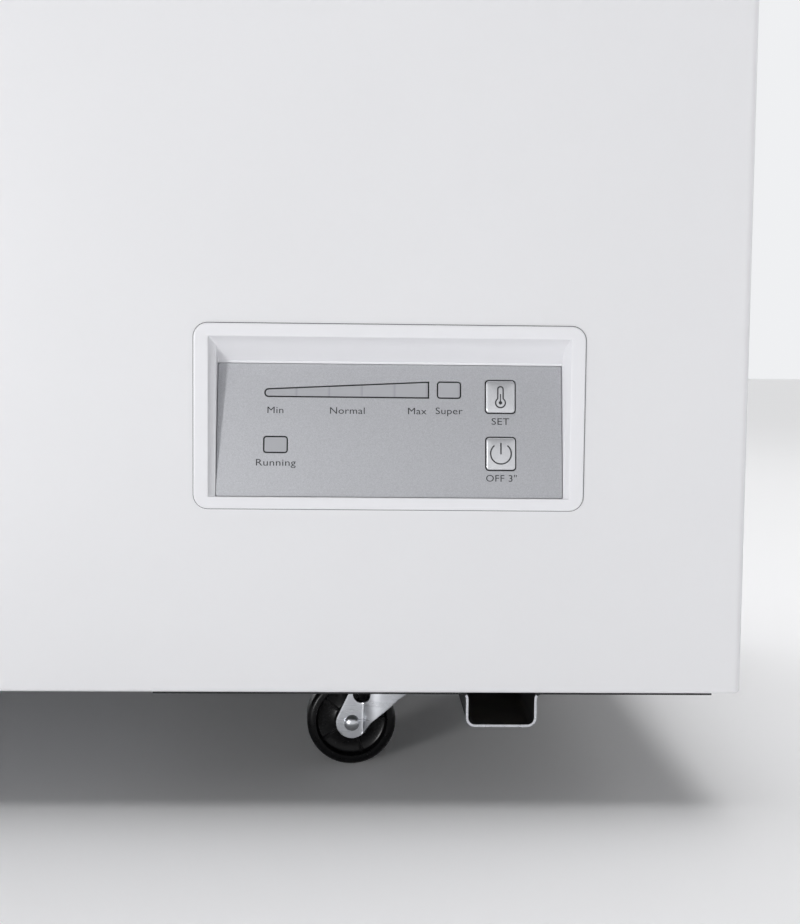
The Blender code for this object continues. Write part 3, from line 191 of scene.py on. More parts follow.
def curvePatch(curve, scale, lift):
    # the filled curve as points p * scale + (0, 0, lift), with its faces
    holder = bpy.data.objects.new("outline", curve)
    bpy.context.scene.collection.objects.link(holder)
    graph = bpy.context.evaluated_depsgraph_get()
    mesh = bpy.data.meshes.new_from_object(holder.evaluated_get(graph))
    points = np.empty(len(mesh.vertices) * 3)
    mesh.vertices.foreach_get("co", points)
    points = points.reshape(-1, 3) * scale + np.array([0, 0, lift])
    faces = [list(face.vertices) for face in mesh.polygons]
    bpy.data.objects.remove(holder)
    bpy.data.curves.remove(curve)
    bpy.data.meshes.remove(mesh)
    return points, faces


def wordPatch(word, capHeight, left, right, base, low, high):
    # a word as a thin flat relief: cap height, left and right edges and base line in metres
    curve = bpy.data.curves.new("word", "FONT")
    curve.body = word
    curve.size = 1.0
    curve.extrude = 0.004
    curve.resolution_u = 4
    curve.space_character = 1.04
    points, faces = curvePatch(curve, 1.0, 0.0)
    capShare = 0.729  # height of a capital as a share of the letter size
    scale = capHeight / capShare
    points = points * scale
    start, end = points[:, 0].min(), points[:, 0].max()
    points[:, 0] = left + (points[:, 0] - start) * (right - left) / (end - start)
    points[:, 1] += base
    points[:, 2] = np.where(points[:, 2] > 0, high, low)
    return points, faces


def joined(patches):
    # several patches as one: each patch's faces count on from the points before it
    points, faces, start = [], [], 0
    for verts, quads in patches:
        points.append(verts)
        faces += [[i + start for i in face] for face in quads]
        start += len(verts)
    return np.vstack(points), faces


def makePiece(name, patches, material, body, nodes=(), wall=0.0, edge=0.0,
              edgeSteps=2, angle=38, cutters=(), turn=None, rim=None):
    # patches become one clean mesh; wall gives it a thickness inwards and edge rounds its sharp edges
    global pieceCount
    points, faces = joined(patches)
    if turn is not None:
        points = points @ np.array(turn.to_3x3()).T + np.array(turn.translation)
    mesh = bpy.data.meshes.new(name)
    mesh.from_pydata(points.tolist(), [], faces)
    bm = bmesh.new()
    bm.from_mesh(mesh)
    bmesh.ops.remove_doubles(bm, verts=bm.verts, dist=2e-6)
    bmesh.ops.dissolve_degenerate(bm, edges=bm.edges, dist=1e-7)
    bmesh.ops.recalc_face_normals(bm, faces=bm.faces)
    bm.to_mesh(mesh)
    bm.free()
    mesh.materials.append(material)
    piece = bpy.data.objects.new(name, mesh)
    bpy.context.scene.collection.objects.link(piece)
    if wall:
        solid = piece.modifiers.new("wall", "SOLIDIFY")
        solid.thickness = wall
        solid.offset = -1
        if rim is not None:
            mesh.materials.append(rim)
            solid.material_offset_rim = 1
    for cutter in cutters:
        tool = bpy.data.objects.new(name + "_cutter", cutterMesh(cutter))
        bpy.context.scene.collection.objects.link(tool)
        hole = piece.modifiers.new("hole", "BOOLEAN")
        hole.operation = "DIFFERENCE"
        hole.object = tool
    if edge:
        rounding = piece.modifiers.new("rounded edges", "BEVEL")
        rounding.width = edge
        rounding.segments = edgeSteps
        rounding.limit_method = "ANGLE"
        rounding.angle_limit = math.radians(angle)
    settleMesh(piece)
    piece.data.shade_smooth()
    piece.data.set_sharp_from_angle(angle=math.radians(angle))
    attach(piece, body)
    if nodes:
        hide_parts(*nodes)
    pieceCount += 1
    return piece


def cutterMesh(patch):
    # closed mesh of one patch, its doubled points merged and its faces turned outwards
    points, faces = patch
    mesh = bpy.data.meshes.new("cutter")
    mesh.from_pydata(points.tolist(), [], faces)
    bm = bmesh.new()
    bm.from_mesh(mesh)
    bmesh.ops.remove_doubles(bm, verts=bm.verts, dist=1e-7)
    bmesh.ops.recalc_face_normals(bm, faces=bm.faces)
    bm.to_mesh(mesh)
    bm.free()
    return mesh


def settleMesh(piece):
    # the modifiers' result becomes the piece's own mesh, and the cutting tools are removed
    tools = [modifier.object for modifier in piece.modifiers if modifier.type == "BOOLEAN"]
    graph = bpy.context.evaluated_depsgraph_get()
    mesh = bpy.data.meshes.new_from_object(piece.evaluated_get(graph))
    piece.modifiers.clear()
    piece.data = mesh
    for tool in tools:
        bpy.data.objects.remove(tool)


def boxPatch(low, high):
    # rectangle through low and high on x and y, joined between the two heights and closed
    x, y, z = zip(low, high)
    ring = np.array([[x[0], y[0]], [x[1], y[0]], [x[1], y[1]], [x[0], y[1]]])
    rings = [np.hstack([ring, np.full((4, 1), level)]) for level in z]
    return ringStack(rings, True, True)


def bar(section, start, end, axis="x"):
    # a flat section carried straight along an axis: section points are (y, z) on x, (x, z) on y, (x, y) on z
    section = np.asarray(section, dtype=float)
    rings = []
    for level in (start, end):
        full = np.full((len(section), 1), level)
        first, second = section[:, :1], section[:, 1:]
        columns = {"x": (full, first, second), "y": (first, full, second), "z": (first, second, full)}
        rings.append(np.hstack(columns[axis]))
    return ringStack(rings, True, True)


def newFinish(name, colour, roughness, metallic=0.0, **more):
    # principled material with its base values, and object coordinates in metres for its textures
    material = bpy.data.materials.new(name)
    material.use_nodes = True
    tree = material.node_tree
    shader = tree.nodes["Principled BSDF"]
    shader.inputs["Base Color"].default_value = linearColour(colour)
    shader.inputs["Roughness"].default_value = roughness
    shader.inputs["Metallic"].default_value = metallic
    for label, value in more.items():
        shader.inputs[label.replace("_", " ")].default_value = value
    place = addNode(tree, "ShaderNodeTexCoord").outputs["Object"]
    return material, tree, shader, place


def varyColour(tree, shader, fac, low, high):
    # base colour runs from low to high as the factor goes from 0 to 1
    ramp = addNode(tree, "ShaderNodeValToRGB", None, {"Fac": fac})
    ramp.color_ramp.elements[0].color = linearColour(low)
    ramp.color_ramp.elements[1].color = linearColour(high)
    tree.links.new(ramp.outputs["Color"], shader.inputs["Base Color"])
    return ramp


def varyRoughness(tree, shader, fac, low, high):
    # roughness = low + factor * (high - low)
    spread = addNode(tree, "ShaderNodeMapRange", {"To Min": low, "To Max": high}, {"Value": fac})
    tree.links.new(spread.outputs["Result"], shader.inputs["Roughness"])


def raiseSurface(tree, shader, height, depth, strength=1.0):
    # bump from a height texture: depth in metres, strength as a share of it
    bump = addNode(tree, "ShaderNodeBump", {"Strength": strength, "Distance": depth}, {"Height": height})
    tree.links.new(bump.outputs["Normal"], shader.inputs["Normal"])


def noise(tree, place, size, detail=3.0, rough=0.5):
    # one noise cell is about size metres across
    return addNode(tree, "ShaderNodeTexNoise", {"Scale": 1 / size, "Detail": detail, "Roughness": rough},
                   {"Vector": place}).outputs["Fac"]


def paintedSheet(name="white enamelled steel sheet"):
    # coil-coated steel: satin white enamel over smooth sheet, with the faint ripple that rolled paint keeps
    material, tree, shader, place = newFinish(name, "#E3E3E5", 0.42, IOR=1.5)
    ripple = noise(tree, place, 0.0022, 2.0)
    varyColour(tree, shader, noise(tree, place, 0.18, 2.0), "#E1E1E3", "#E5E5E7")
    varyRoughness(tree, shader, noise(tree, place, 0.03), 0.38, 0.47)
    raiseSurface(tree, shader, ripple, 0.00003, 0.35)
    return material


def mouldedWhite(name, colour="#E8E8EA", low="#E4E4E6", roughness=0.42, grain=0.0005):
    # injection-moulded ABS or polystyrene: the tool's fine spark-eroded grain, slightly uneven gloss
    material, tree, shader, place = newFinish(name, colour, roughness, IOR=1.53)
    varyColour(tree, shader, noise(tree, place, 0.06, 2.0), low, colour)
    varyRoughness(tree, shader, noise(tree, place, 0.02), roughness - 0.05, roughness + 0.06)
    raiseSurface(tree, shader, noise(tree, place, grain, 2.0), 0.00002, 0.2)
    return material


def satinSilver(name="silver-painted ABS, satin"):
    # ABS under silver paint: fine aluminium flakes, each catching the light a little differently
    material, tree, shader, place = newFinish(name, "#B9BABE", 0.42, 0.55)
    flakes = addNode(tree, "ShaderNodeTexVoronoi", {"Scale": 1 / 0.00035}, {"Vector": place})
    varyColour(tree, shader, flakes.outputs["Color"], "#AFB0B4", "#C3C4C8")
    varyRoughness(tree, shader, noise(tree, place, 0.0011), 0.36, 0.50)
    raiseSurface(tree, shader, noise(tree, place, 0.0006, 2.0), 0.00002, 0.5)
    return material


def glossSilver(name="silver-painted key, gloss"):
    # the same paint under a clear hard lacquer, polished by fingers at its top
    material, tree, shader, place = newFinish(name, "#D6D7DA", 0.26, 0.55, Coat_Weight=0.5,
                                              Coat_Roughness=0.12)
    flakes = addNode(tree, "ShaderNodeTexVoronoi", {"Scale": 1 / 0.0004}, {"Vector": place})
    varyColour(tree, shader, flakes.outputs["Color"], "#D3D4D7", "#D9DADD")
    varyRoughness(tree, shader, noise(tree, place, 0.002), 0.19, 0.30)
    return material


def smokedPane(name="smoked grey acrylic"):
    # cast acrylic tinted to match the silver when its lamp is off; faint ribs split it into lamp fields
    material, tree, shader, place = newFinish(name, "#A9AAAE", 0.16, IOR=1.49, Coat_Weight=0.3,
                                              Coat_Roughness=0.05)
    ribPitch = 0.0164
    ribs = addNode(tree, "ShaderNodeTexWave", {"Scale": 2 * math.pi / 20 / ribPitch, "Distortion": 0.0},
                   {"Vector": place},
                   {"wave_type": "BANDS", "bands_direction": "X", "wave_profile": "SAW"})
    ramp = varyColour(tree, shader, ribs.outputs["Fac"], "#ABACB0", "#9FA0A5")
    ramp.color_ramp.elements[0].position = 0.90
    ramp.color_ramp.elements[1].position = 0.97
    varyRoughness(tree, shader, noise(tree, place, 0.004), 0.12, 0.22)
    return material


def blackPrint(name, colour="#17171A", roughness=0.55):
    # screen-printed ink: dense and matt, with the mesh's slight unevenness
    material, tree, shader, place = newFinish(name, colour, roughness)
    varyRoughness(tree, shader, noise(tree, place, 0.0008), roughness - 0.08, roughness + 0.1)
    raiseSurface(tree, shader, noise(tree, place, 0.0003), 0.00001, 0.4)
    return material


def zincPlate(name, colour="#D8DADE", low="#C4C6CB", roughness=0.26, streak=(40.0, 40.0, 900.0)):
    # zinc-plated pressed steel: bright metal with faint rolling lines and cloudy passivation
    material, tree, shader, place = newFinish(name, colour, roughness, 1.0)
    stretched = addNode(tree, "ShaderNodeMapping", {"Scale": streak}, {"Vector": place}).outputs["Vector"]
    lines = noise(tree, stretched, 1.0, 3.0)
    clouds = noise(tree, place, 0.006, 3.0)
    varyColour(tree, shader, clouds, low, colour)
    varyRoughness(tree, shader, lines, roughness - 0.07, roughness + 0.14)
    raiseSurface(tree, shader, lines, 0.00001, 0.5)
    return material


def galvanised(name="galvanised steel sheet"):
    # hot-dip galvanised sheet: crystals of zinc about 8 mm across, each with its own grey and gloss
    material, tree, shader, place = newFinish(name, "#A9ABAE", 0.42, 1.0)
    spangle = addNode(tree, "ShaderNodeTexVoronoi", {"Scale": 1 / 0.008}, {"Vector": place})
    varyColour(tree, shader, spangle.outputs["Color"], "#97999D", "#B4B6BA")
    varyRoughness(tree, shader, spangle.outputs["Color"], 0.34, 0.52)
    raiseSurface(tree, shader, noise(tree, place, 0.002), 0.00002, 0.4)
    return material


def channelShadeSheet(name="near-black sheet, painted channel shade"):
    # near-black, dull sheet with slightly rubbed patches: the near-black colour is painted shade for the
    # shaded inside of the pressed channel
    material, tree, shader, place = newFinish(name, "#1B1B1C", 0.5, Specular_IOR_Level=0.3)
    wear = noise(tree, place, 0.02, 4.0)
    varyColour(tree, shader, wear, "#141415", "#232325")
    varyRoughness(tree, shader, wear, 0.42, 0.60)
    raiseSurface(tree, shader, noise(tree, place, 0.001), 0.00002, 0.4)
    return material


def cutEdge(name="sheared steel edge"):
    # bare sheared edge: bright metal with fine burnish lines across the sheet
    material, tree, shader, place = newFinish(name, "#D5D6DA", 0.28, 1.0)
    lines = noise(tree, addNode(tree, "ShaderNodeMapping", {"Scale": (900.0, 60.0, 900.0)},
                                {"Vector": place}).outputs["Vector"], 1.0, 2.0)
    varyColour(tree, shader, lines, "#BFC1C6", "#DADBDF")
    varyRoughness(tree, shader, lines, 0.22, 0.36)
    return material


def blackNylon(name="black polyamide", roughness=0.22):
    # moulded polyamide: deep gloss black, with fine random scuffs that lighten the gloss
    material, tree, shader, place = newFinish(name, "#060607", roughness, IOR=1.53, Specular_IOR_Level=0.18)
    scuffs = noise(tree, place, 0.0035, 6.0, 0.7)
    varyColour(tree, shader, scuffs, "#040405", "#0B0B0C")
    varyRoughness(tree, shader, scuffs, roughness - 0.06, roughness + 0.20)
    raiseSurface(tree, shader, noise(tree, place, 0.0012), 0.00002, 0.4)
    return material


def darkMoulding(name, colour="#161617", roughness=0.5):
    # plain black housing plastic with a matt spark-eroded grain
    material, tree, shader, place = newFinish(name, colour, roughness, IOR=1.5)
    varyRoughness(tree, shader, noise(tree, place, 0.004), roughness - 0.08, roughness + 0.08)
    raiseSurface(tree, shader, noise(tree, place, 0.0006), 0.00003, 0.5)
    return material


def softRubber(name, colour="#1B1B1C", high="#252526"):
    # moulded rubber: matt, with a soft sheen and the dusty bloom it gathers
    material, tree, shader, place = newFinish(name, colour, 0.72, IOR=1.52, Sheen_Weight=0.08)
    varyColour(tree, shader, noise(tree, place, 0.007), colour, high)
    varyRoughness(tree, shader, noise(tree, place, 0.003), 0.64, 0.82)
    raiseSurface(tree, shader, noise(tree, place, 0.0009), 0.00003, 0.4)
    return material


def drawnMetal(name, colour, low, roughness=0.3):
    # drawn tube: bare metal, dulled in clouds where it has been handled
    material, tree, shader, place = newFinish(name, colour, roughness, 1.0)
    varyColour(tree, shader, noise(tree, place, 0.012), low, colour)
    varyRoughness(tree, shader, noise(tree, place, 0.004), roughness - 0.06, roughness + 0.14)
    return material


def rigidFoam(name):
    # blown polyurethane: pale yellow, open where it is cut, cells about 1.5 mm across
    material, tree, shader, place = newFinish(name, "#D9C58A", 0.9, Subsurface_Weight=0.1)
    shader.inputs["Subsurface Radius"].default_value = (0.003, 0.002, 0.001)
    cells = addNode(tree, "ShaderNodeTexVoronoi", {"Scale": 1 / 0.0015}, {"Vector": place})
    varyColour(tree, shader, noise(tree, place, 0.02), "#CDB775", "#E0CF9B")
    raiseSurface(tree, shader, cells.outputs["Distance"], 0.0004, 0.7)
    return material


def printedBoard(name="printed board"):
    # glass-epoxy board under green solder mask, with copper tracks just showing through it
    material, tree, shader, place = newFinish(name, "#0E4A22", 0.35, IOR=1.5, Coat_Weight=0.4)
    tracks = addNode(tree, "ShaderNodeTexBrick", {"Scale": 90.0, "Mortar Size": 0.04,
                     "Color1": linearColour("#0F4D24"), "Color2": linearColour("#0C421E"),
                     "Mortar": linearColour("#2C7A3C")}, {"Vector": place})
    tree.links.new(tracks.outputs["Color"], shader.inputs["Base Color"])
    return material


def blackEnamel(name="black stoved enamel"):
    # compressor shell: welded steel under one coat of black enamel, a little orange peel
    material, tree, shader, place = newFinish(name, "#121213", 0.3, IOR=1.5, Coat_Weight=0.2)
    varyRoughness(tree, shader, noise(tree, place, 0.01), 0.24, 0.42)
    raiseSurface(tree, shader, noise(tree, place, 0.002), 0.00006, 0.5)
    return material


def coatedWire(name="white coated wire"):
    # steel wire dipped in polyethylene: thick soft-edged white coat, waxy gloss
    material, tree, shader, place = newFinish(name, "#E6E7E9", 0.3, IOR=1.51, Coat_Weight=0.1)
    varyColour(tree, shader, noise(tree, place, 0.01), "#DFE0E3", "#EAEBEC")
    varyRoughness(tree, shader, noise(tree, place, 0.003), 0.24, 0.40)
    return material


whitePaint = paintedSheet()
bezelWhite = mouldedWhite("gloss white ABS", "#E8E8EB", "#E6E6E9", 0.30, 0.0009)
trimWhite = mouldedWhite("white ABS, fine grain")
linerWhite = mouldedWhite("white polystyrene liner", "#EAEAEC", "#E7E7E9", 0.46, 0.004)
gasketGrey = softRubber("light grey PVC gasket", "#C9CACC", "#D3D4D6")
silverPaint = satinSilver()
keyPaint = glossSilver()
paneAcrylic = smokedPane()
maskInk = blackPrint("black light mask", "#101012")
legendInk = blackPrint("dark grey legend ink", "#2C2D30")
zincBright = zincPlate("bright zinc-plated steel")
zincSheet = galvanised()
# near-black base sheet finish: painted shade for the inside of the pressed channel
channelShadeBlack = channelShadeSheet()
edgeSteel = cutEdge()
wheelNylon = blackNylon()
blackPlastic = darkMoulding("black housing plastic")
blackRubber = softRubber("black rubber")
# dark grey of the ring round the bezel: painted shadow of the gap between bezel and sheet
shadowLineGrey = softRubber("dark grey painted bezel shadow line", "#3A3B3E", "#444548")
copperTube = drawnMetal("drawn copper", "#C0795A", "#9A5A40", 0.28)
aluTube = drawnMetal("drawn aluminium tube", "#B4B6BA", "#9C9EA3", 0.34)
steelTube = drawnMetal("dark bundy steel tube", "#6E7074", "#55575B", 0.38)
foamCore = rigidFoam("polyurethane foam")
boardGreen = printedBoard()
shellEnamel = blackEnamel()
wireCoat = coatedWire()
print("finishes made:", len(bpy.data.materials))


wrapLow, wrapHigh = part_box("cabinet_wrap")
bezelLow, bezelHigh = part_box("control_bezel")
ventLow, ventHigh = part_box("vent_grille")
drainLow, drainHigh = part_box("drain_tube")
frontY = wrapLow.y

wrapSheet = {"sheet": 1.0, "corner": 4.0, "bend": 2.0, "hem": 12.0, "support": 1.6, "cornerSteps": 10,
             "panelInset": 5.0, "ventInset": 10.0, "drainHalf": 10.0}


def wrapPlan(inset, s):
    # plan of the folded sheet at one inset: left side, corner arc, front, corner arc, right side
    rho = max(s["corner"] * mm - inset, 0.2 * mm)
    side, front = wrapHigh.x - inset, frontY + inset
    drainMid = (drainLow.y + drainHigh.y) / 2
    half, vent = s["drainHalf"] * mm, s["ventInset"] * mm
    support = s["support"] * mm
    sideYs = [wrapHigh.y, ventHigh.y - vent, ventLow.y + vent, drainMid + half, drainMid - half,
              frontY + 16 * mm, front + rho + support]
    sideYs[2:4] = sorted(sideYs[2:4], reverse=True)
    panel = s["panelInset"] * mm
    xs = [-side + rho + support, bezelLow.x + panel, bezelHigh.x - panel, side - rho - support]
    left = [(-side, y) for y in sideYs]
    cornerLeft = arcPoints((-side + rho, front + rho), rho, 180, 270, s["cornerSteps"])
    cornerRight = arcPoints((side - rho, front + rho), rho, 270, 360, s["cornerSteps"])
    return np.vstack([left, cornerLeft, [(x, front) for x in xs], cornerRight,
                      [(side, y) for y in sideYs[::-1]]])


def cabinetWrap(s):
    # inset and height give a hem, a round bend and the wall; the plan at each is one row of the grid
    bend, hem = s["bend"] * mm, s["hem"] * mm
    low, high = wrapLow.z, wrapHigh.z
    curve = arcPoints((bend, low + bend), bend, 270, 180, 6)
    panel, vent, half = s["panelInset"] * mm, s["ventInset"] * mm, s["drainHalf"] * mm
    drainMid = (drainLow.z + drainHigh.z) / 2
    levels = sorted([low + bend + s["support"] * mm, drainMid - half, drainMid + half, ventLow.z + vent,
                     ventHigh.z - vent, bezelLow.z + panel, bezelHigh.z - panel, high])
    rows = [(hem, low), (bend + s["support"] * mm, low)]
    rows += [tuple(p) for p in curve] + [(0.0, z) for z in levels]
    grid = np.array([[(x, y, z) for x, y in wrapPlan(d, s)] for d, z in rows])
    mid = (grid[:-1, :-1] + grid[1:, 1:]) / 2
    x, y, z = mid[..., 0], mid[..., 1], mid[..., 2]
    flatSide = 0.001
    inPanel = (y < frontY + flatSide) & (x > bezelLow.x + panel) & (x < bezelHigh.x - panel) \
        & (z > bezelLow.z + panel) & (z < bezelHigh.z - panel)
    inVent = (x > wrapHigh.x - flatSide) & (y > ventLow.y + vent) & (y < ventHigh.y - vent) \
        & (z > ventLow.z + vent) & (z < ventHigh.z - vent)
    middleY = (drainLow.y + drainHigh.y) / 2
    inDrain = (x < wrapLow.x + flatSide) & (abs(y - middleY) < half) & (abs(z - drainMid) < half)
    keep = ~(inPanel | inVent | inDrain)
    return makePiece("folded_wrap", [gridPatch(grid, keep=keep)], whitePaint, "cabinet", ["cabinet_wrap"],
                     wall=s["sheet"] * mm, angle=50)


cabinetWrap(wrapSheet)


def rectRing(half, middle, inset, rho, z, steps=6):
    # level rounded rectangle: half extents less the inset, moved along y to its middle
    ring = ringPoints(-half[0] + inset, half[0] - inset, -half[1] + inset, half[1] - inset, rho, steps)
    ring[:, 1] += middle
    return np.hstack([ring, np.full((len(ring), 1), z)])


rimLow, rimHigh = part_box("rim_frame")
linerLow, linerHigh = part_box("inner_liner")
basketLow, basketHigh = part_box("wire_basket")

rimMoulding = {"outerCorner": 4.0, "innerCorner": 20.0, "edge": 1.5, "lip": 5.0, "ledge": 13.0,
               "liner": 1.2, "ledgeTop": 768.0, "seatIn": 2.6}


def rimFrame(s):
    # closed section (inset, height) carried round a rounded rectangle, whose corner grows inwards
    half = (rimHigh.x, (rimHigh.y - rimLow.y) / 2)
    middle = (rimHigh.y + rimLow.y) / 2
    wallIn = rimHigh.x - (linerHigh.x - s["liner"] * mm)
    inner, ledge, e = wallIn + s["lip"] * mm, wallIn + s["ledge"] * mm, s["edge"] * mm
    top, under, ledgeTop = rimHigh.z, wrapHigh.z + 0.3 * mm, s["ledgeTop"] * mm
    section = [(s["seatIn"] * mm, under), (0.0, under), (0.0, top - e)]
    section += [tuple(p) for p in arcPoints((e, top - e), e, 180, 90, 4)[1:]]
    section += [tuple(p) for p in arcPoints((inner - 2 * e, top - 2 * e), 2 * e, 90, 0, 5)]
    section += [(inner, ledgeTop + e)]
    section += [tuple(p) for p in arcPoints((inner + e, ledgeTop + e), e, 180, 270, 3)[1:]]
    section += [tuple(p) for p in arcPoints((ledge - e, ledgeTop - e), e, 90, 0, 3)]
    section += [(ledge, linerHigh.z + 3.3 * mm), (inner - 2 * mm, linerHigh.z + 3.3 * mm),
                (inner - 2 * mm, rimLow.z), (s["seatIn"] * mm, rimLow.z)]
    rings = []
    for inset, z in section:
        share = min(inset / inner, 1.0)
        rho = (s["outerCorner"] * (1 - share) + s["innerCorner"] * share) * mm
        rings.append(rectRing(half, middle, inset, rho, z))
    return makePiece("rim_moulding", [ringStack(rings, closedRows=True)], trimWhite, "cabinet", ["rim_frame"])


rimFrame(rimMoulding)

linerShell = {"sheet": 1.2, "corner": 25.0, "foot": 9.0, "step": 12.0, "samples": 5}


def innerLiner(s):
    # plan rings from the top down: full width to the step, then the ring's right end slides in along the
    # step's floor, falls over its rounded edge, and the last rings close the deep floor with a rounded foot
    sheet, rho, foot, step = (s[k] * mm for k in ("sheet", "corner", "foot", "step"))
    left, right, lowY, highY = linerLow.x, linerHigh.x, linerLow.y, linerHigh.y
    stepWall, stepFloor, floor = stepEdge()
    rows = [(right, linerHigh.z, 0.0), (right, stepFloor + foot, 0.0)]
    t = np.radians(np.linspace(0, 90, s["samples"] + 1))[1:]
    rows += [(right - foot * (1 - math.cos(a)), stepFloor + foot * (1 - math.sin(a)), 0.0) for a in t]
    rows += [(stepWall + step * math.cos(a), stepFloor - step * (1 - math.sin(a)), 0.0)
             for a in np.radians(np.linspace(90, 0, s["samples"] + 1))]
    rows += [(stepWall, floor + foot, 0.0)]
    rows += [(stepWall, floor + foot * (1 - math.sin(a)), foot * (1 - math.cos(a))) for a in t]
    rings = []
    for edge, z, inset in rows:
        ring = ringPoints(left + inset, edge - inset, lowY + inset, highY - inset, rho - inset, 8)
        rings.append(np.hstack([ring, np.full((len(ring), 1), z)]))
    drainMid = ((drainLow.y + drainHigh.y) / 2, (drainLow.z + drainHigh.z) / 2)
    bore = spunPatch([(0, -0.06), (9.3 * mm, -0.06), (9.3 * mm, 0.02), (0, 0.02)], 24, "x",
                     (left, *drainMid))
    return makePiece("cabin_liner", [ringStack(rings, capEnd=True)], linerWhite, "cabinet", ["inner_liner"],
                     wall=sheet, cutters=[bore], angle=50)


def stepEdge():
    # the step's wall, its floor and the deep floor, read off the liner's own corner points
    mesh = frame["nodes"]["inner_liner"].data
    points = np.array([v.co for v in mesh.vertices])
    floor = points[:, 2].min()
    deep = points[points[:, 2] < floor + 1e-5]
    upper = points[points[:, 0] > linerHigh.x - 1e-5]
    return deep[:, 0].max(), upper[:, 2].min(), floor


innerLiner(linerShell)
print("cabinet made")


lidLow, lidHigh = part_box("lid_skin")
lidMiddle = (lidLow.y + lidHigh.y) / 2
lidHalf = (lidHigh.x, (lidHigh.y - lidLow.y) / 2)

lidPan = {"sheet": 1.2, "corner": 12.0, "top": 8.5, "steps": 8, "inside": 30.0}


def lidSkin(s):
    # side wall, a round shoulder, then the flat top closed across its middle
    shoulder = arcPoints((s["top"] * mm, lidHigh.z - s["top"] * mm), s["top"] * mm, 180, 90, s["steps"])
    rows = [(0.0, lidLow.z), (0.0, lidHigh.z - (s["top"] + 2) * mm)] + [tuple(p) for p in shoulder]
    rows += [(s["top"] * mm + 3 * mm, lidHigh.z), (s["inside"] * mm, lidHigh.z)]
    rings = []
    for inset, z in rows:
        rings.append(rectRing(lidHalf, lidMiddle, inset, max(s["corner"] * mm - inset, 3 * mm), z, 8))
    return makePiece("lid_pan", [ringStack(rings, capEnd=True)], whitePaint, "lid", ["lid_skin"],
                     wall=s["sheet"] * mm, angle=50)


lidSkin(lidPan)

plugLow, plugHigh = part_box("lid_liner")
lidInner = {"corner": 11.5, "plugCorner": 14.0, "plugSide": 85.0, "draft": 5.0}


def lidPanel(s):
    # flat flange, a round bend, the plug's sloping side, its rounded foot and its floor
    half = (plugHigh.x, (plugHigh.y - plugLow.y) / 2)
    middle = (plugHigh.y + plugLow.y) / 2
    flange = plugHigh.z - 1.5 * mm
    sideX = s["plugSide"] * mm - (lidHalf[0] - half[0])
    rows = [(0.0, plugHigh.z), (0.0, flange), (sideX - 6 * mm, flange)]
    rows += [(sideX - 6 * mm + 3 * mm * math.sin(a), flange - 3 * mm * (1 - math.cos(a)))
             for a in np.radians([30, 60, 90])]
    rows += [(sideX + s["draft"] * mm * 0.4, plugLow.z + 6 * mm)]
    rows += [tuple(p) for p in arcPoints((sideX + 8 * mm, plugLow.z + 6 * mm), 6 * mm, 180, 270, 5)]
    rows += [(sideX + 40 * mm, plugLow.z)]
    rings = []
    for inset, z in rows:
        rings.append(rectRing(half, middle, inset, s["corner"] * mm if inset < sideX - 7 * mm
                              else s["plugCorner"] * mm, z, 8))
    return makePiece("lid_inner_panel", [ringStack(rings, capEnd=True)], linerWhite, "lid", ["lid_liner"],
                     angle=45)


lidPanel(lidInner)

sealLow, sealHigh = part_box("lid_gasket")
lidSeal = {"width": 14.0, "corner": 9.0}


def lidGasket(s):
    # hollow magnetic seal: a flat foot, a waist and a round magnet pocket, as a closed section
    width, height = s["width"] * mm, sealHigh.z - sealLow.z
    u = np.array([0.00, 0.06, 0.20, 0.24, 0.16, 0.04, 0.00, 0.05, 0.16, 0.84, 0.95, 1.00, 0.96, 0.84, 0.76,
                  0.80, 0.94, 1.00])
    v = np.array([1.00, 0.88, 0.82, 0.70, 0.60, 0.50, 0.30, 0.08, 0.00, 0.00, 0.08, 0.30, 0.50, 0.60, 0.70,
                  0.82, 0.88, 1.00])
    half = (sealHigh.x, (sealHigh.y - sealLow.y) / 2)
    middle = (sealHigh.y + sealLow.y) / 2
    rings = [rectRing(half, middle, a * width, max(s["corner"] * mm - a * width * 0.3, 2 * mm),
                      sealLow.z + b * height, 6) for a, b in zip(u, v)]
    return makePiece("magnetic_seal", [ringStack(rings, closedRows=True)], gasketGrey, "lid", ["lid_gasket"],
                     angle=60)


lidGasket(lidSeal)

gripLow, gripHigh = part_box("lid_handle")
lidGrip = {"lip": 4.5, "round": 1.4}


def lidHandle(s):
    # side section of the grip: a flat shelf that rolls down into a finger lip, carried along X
    y0, y1, z0, z1 = gripLow.y, gripHigh.y, gripLow.z, gripHigh.z
    r = s["lip"] / 2 * mm
    outer = arcPoints((y0 + 12 * mm, z1 - 12 * mm), 12 * mm, 90, 180, 10)
    toe = arcPoints((y0 + r, z0 + r), r, 180, 360, 8)
    inner = arcPoints((y0 + 9.5 * mm, z1 - 17.0 * mm), 5.0 * mm, 180, 90, 6)
    section = np.vstack([[(y1, z1)], outer, toe, inner, [(y1, z1 - 12 * mm)]])
    return makePiece("lid_grip", [bar(section, gripLow.x, gripHigh.x)], trimWhite, "lid", ["lid_handle"],
                     edge=s["round"] * mm, edgeSteps=3, angle=40)


lidHandle(lidGrip)

hingeAxis = joints["lid_hinge"]["pos_m"]
hingeParts = {"wire": 1.6, "coil": 10.0, "turns": 5, "pitch": 2.1}


def hingeSpring(side, s):
    # helix about the pin: (p t, r sin 2 pi t, -r cos 2 pi t), with a straight leg at each end
    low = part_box("hinge_spring_" + side)[0]
    t = np.linspace(0, s["turns"], s["turns"] * 24 + 1)
    r = s["coil"] / 2 * mm
    start = low.x + s["wire"] / 2 * mm
    path = np.stack([start + s["pitch"] * mm * t, hingeAxis[1] + r * np.sin(2 * math.pi * t),
                     hingeAxis[2] - r * np.cos(2 * math.pi * t)], axis=1)
    makePiece("torsion_spring_" + side, [tubePatch(path, s["wire"] / 2 * mm, 8)], zincBright, "cabinet",
              ["hinge_spring_" + side])


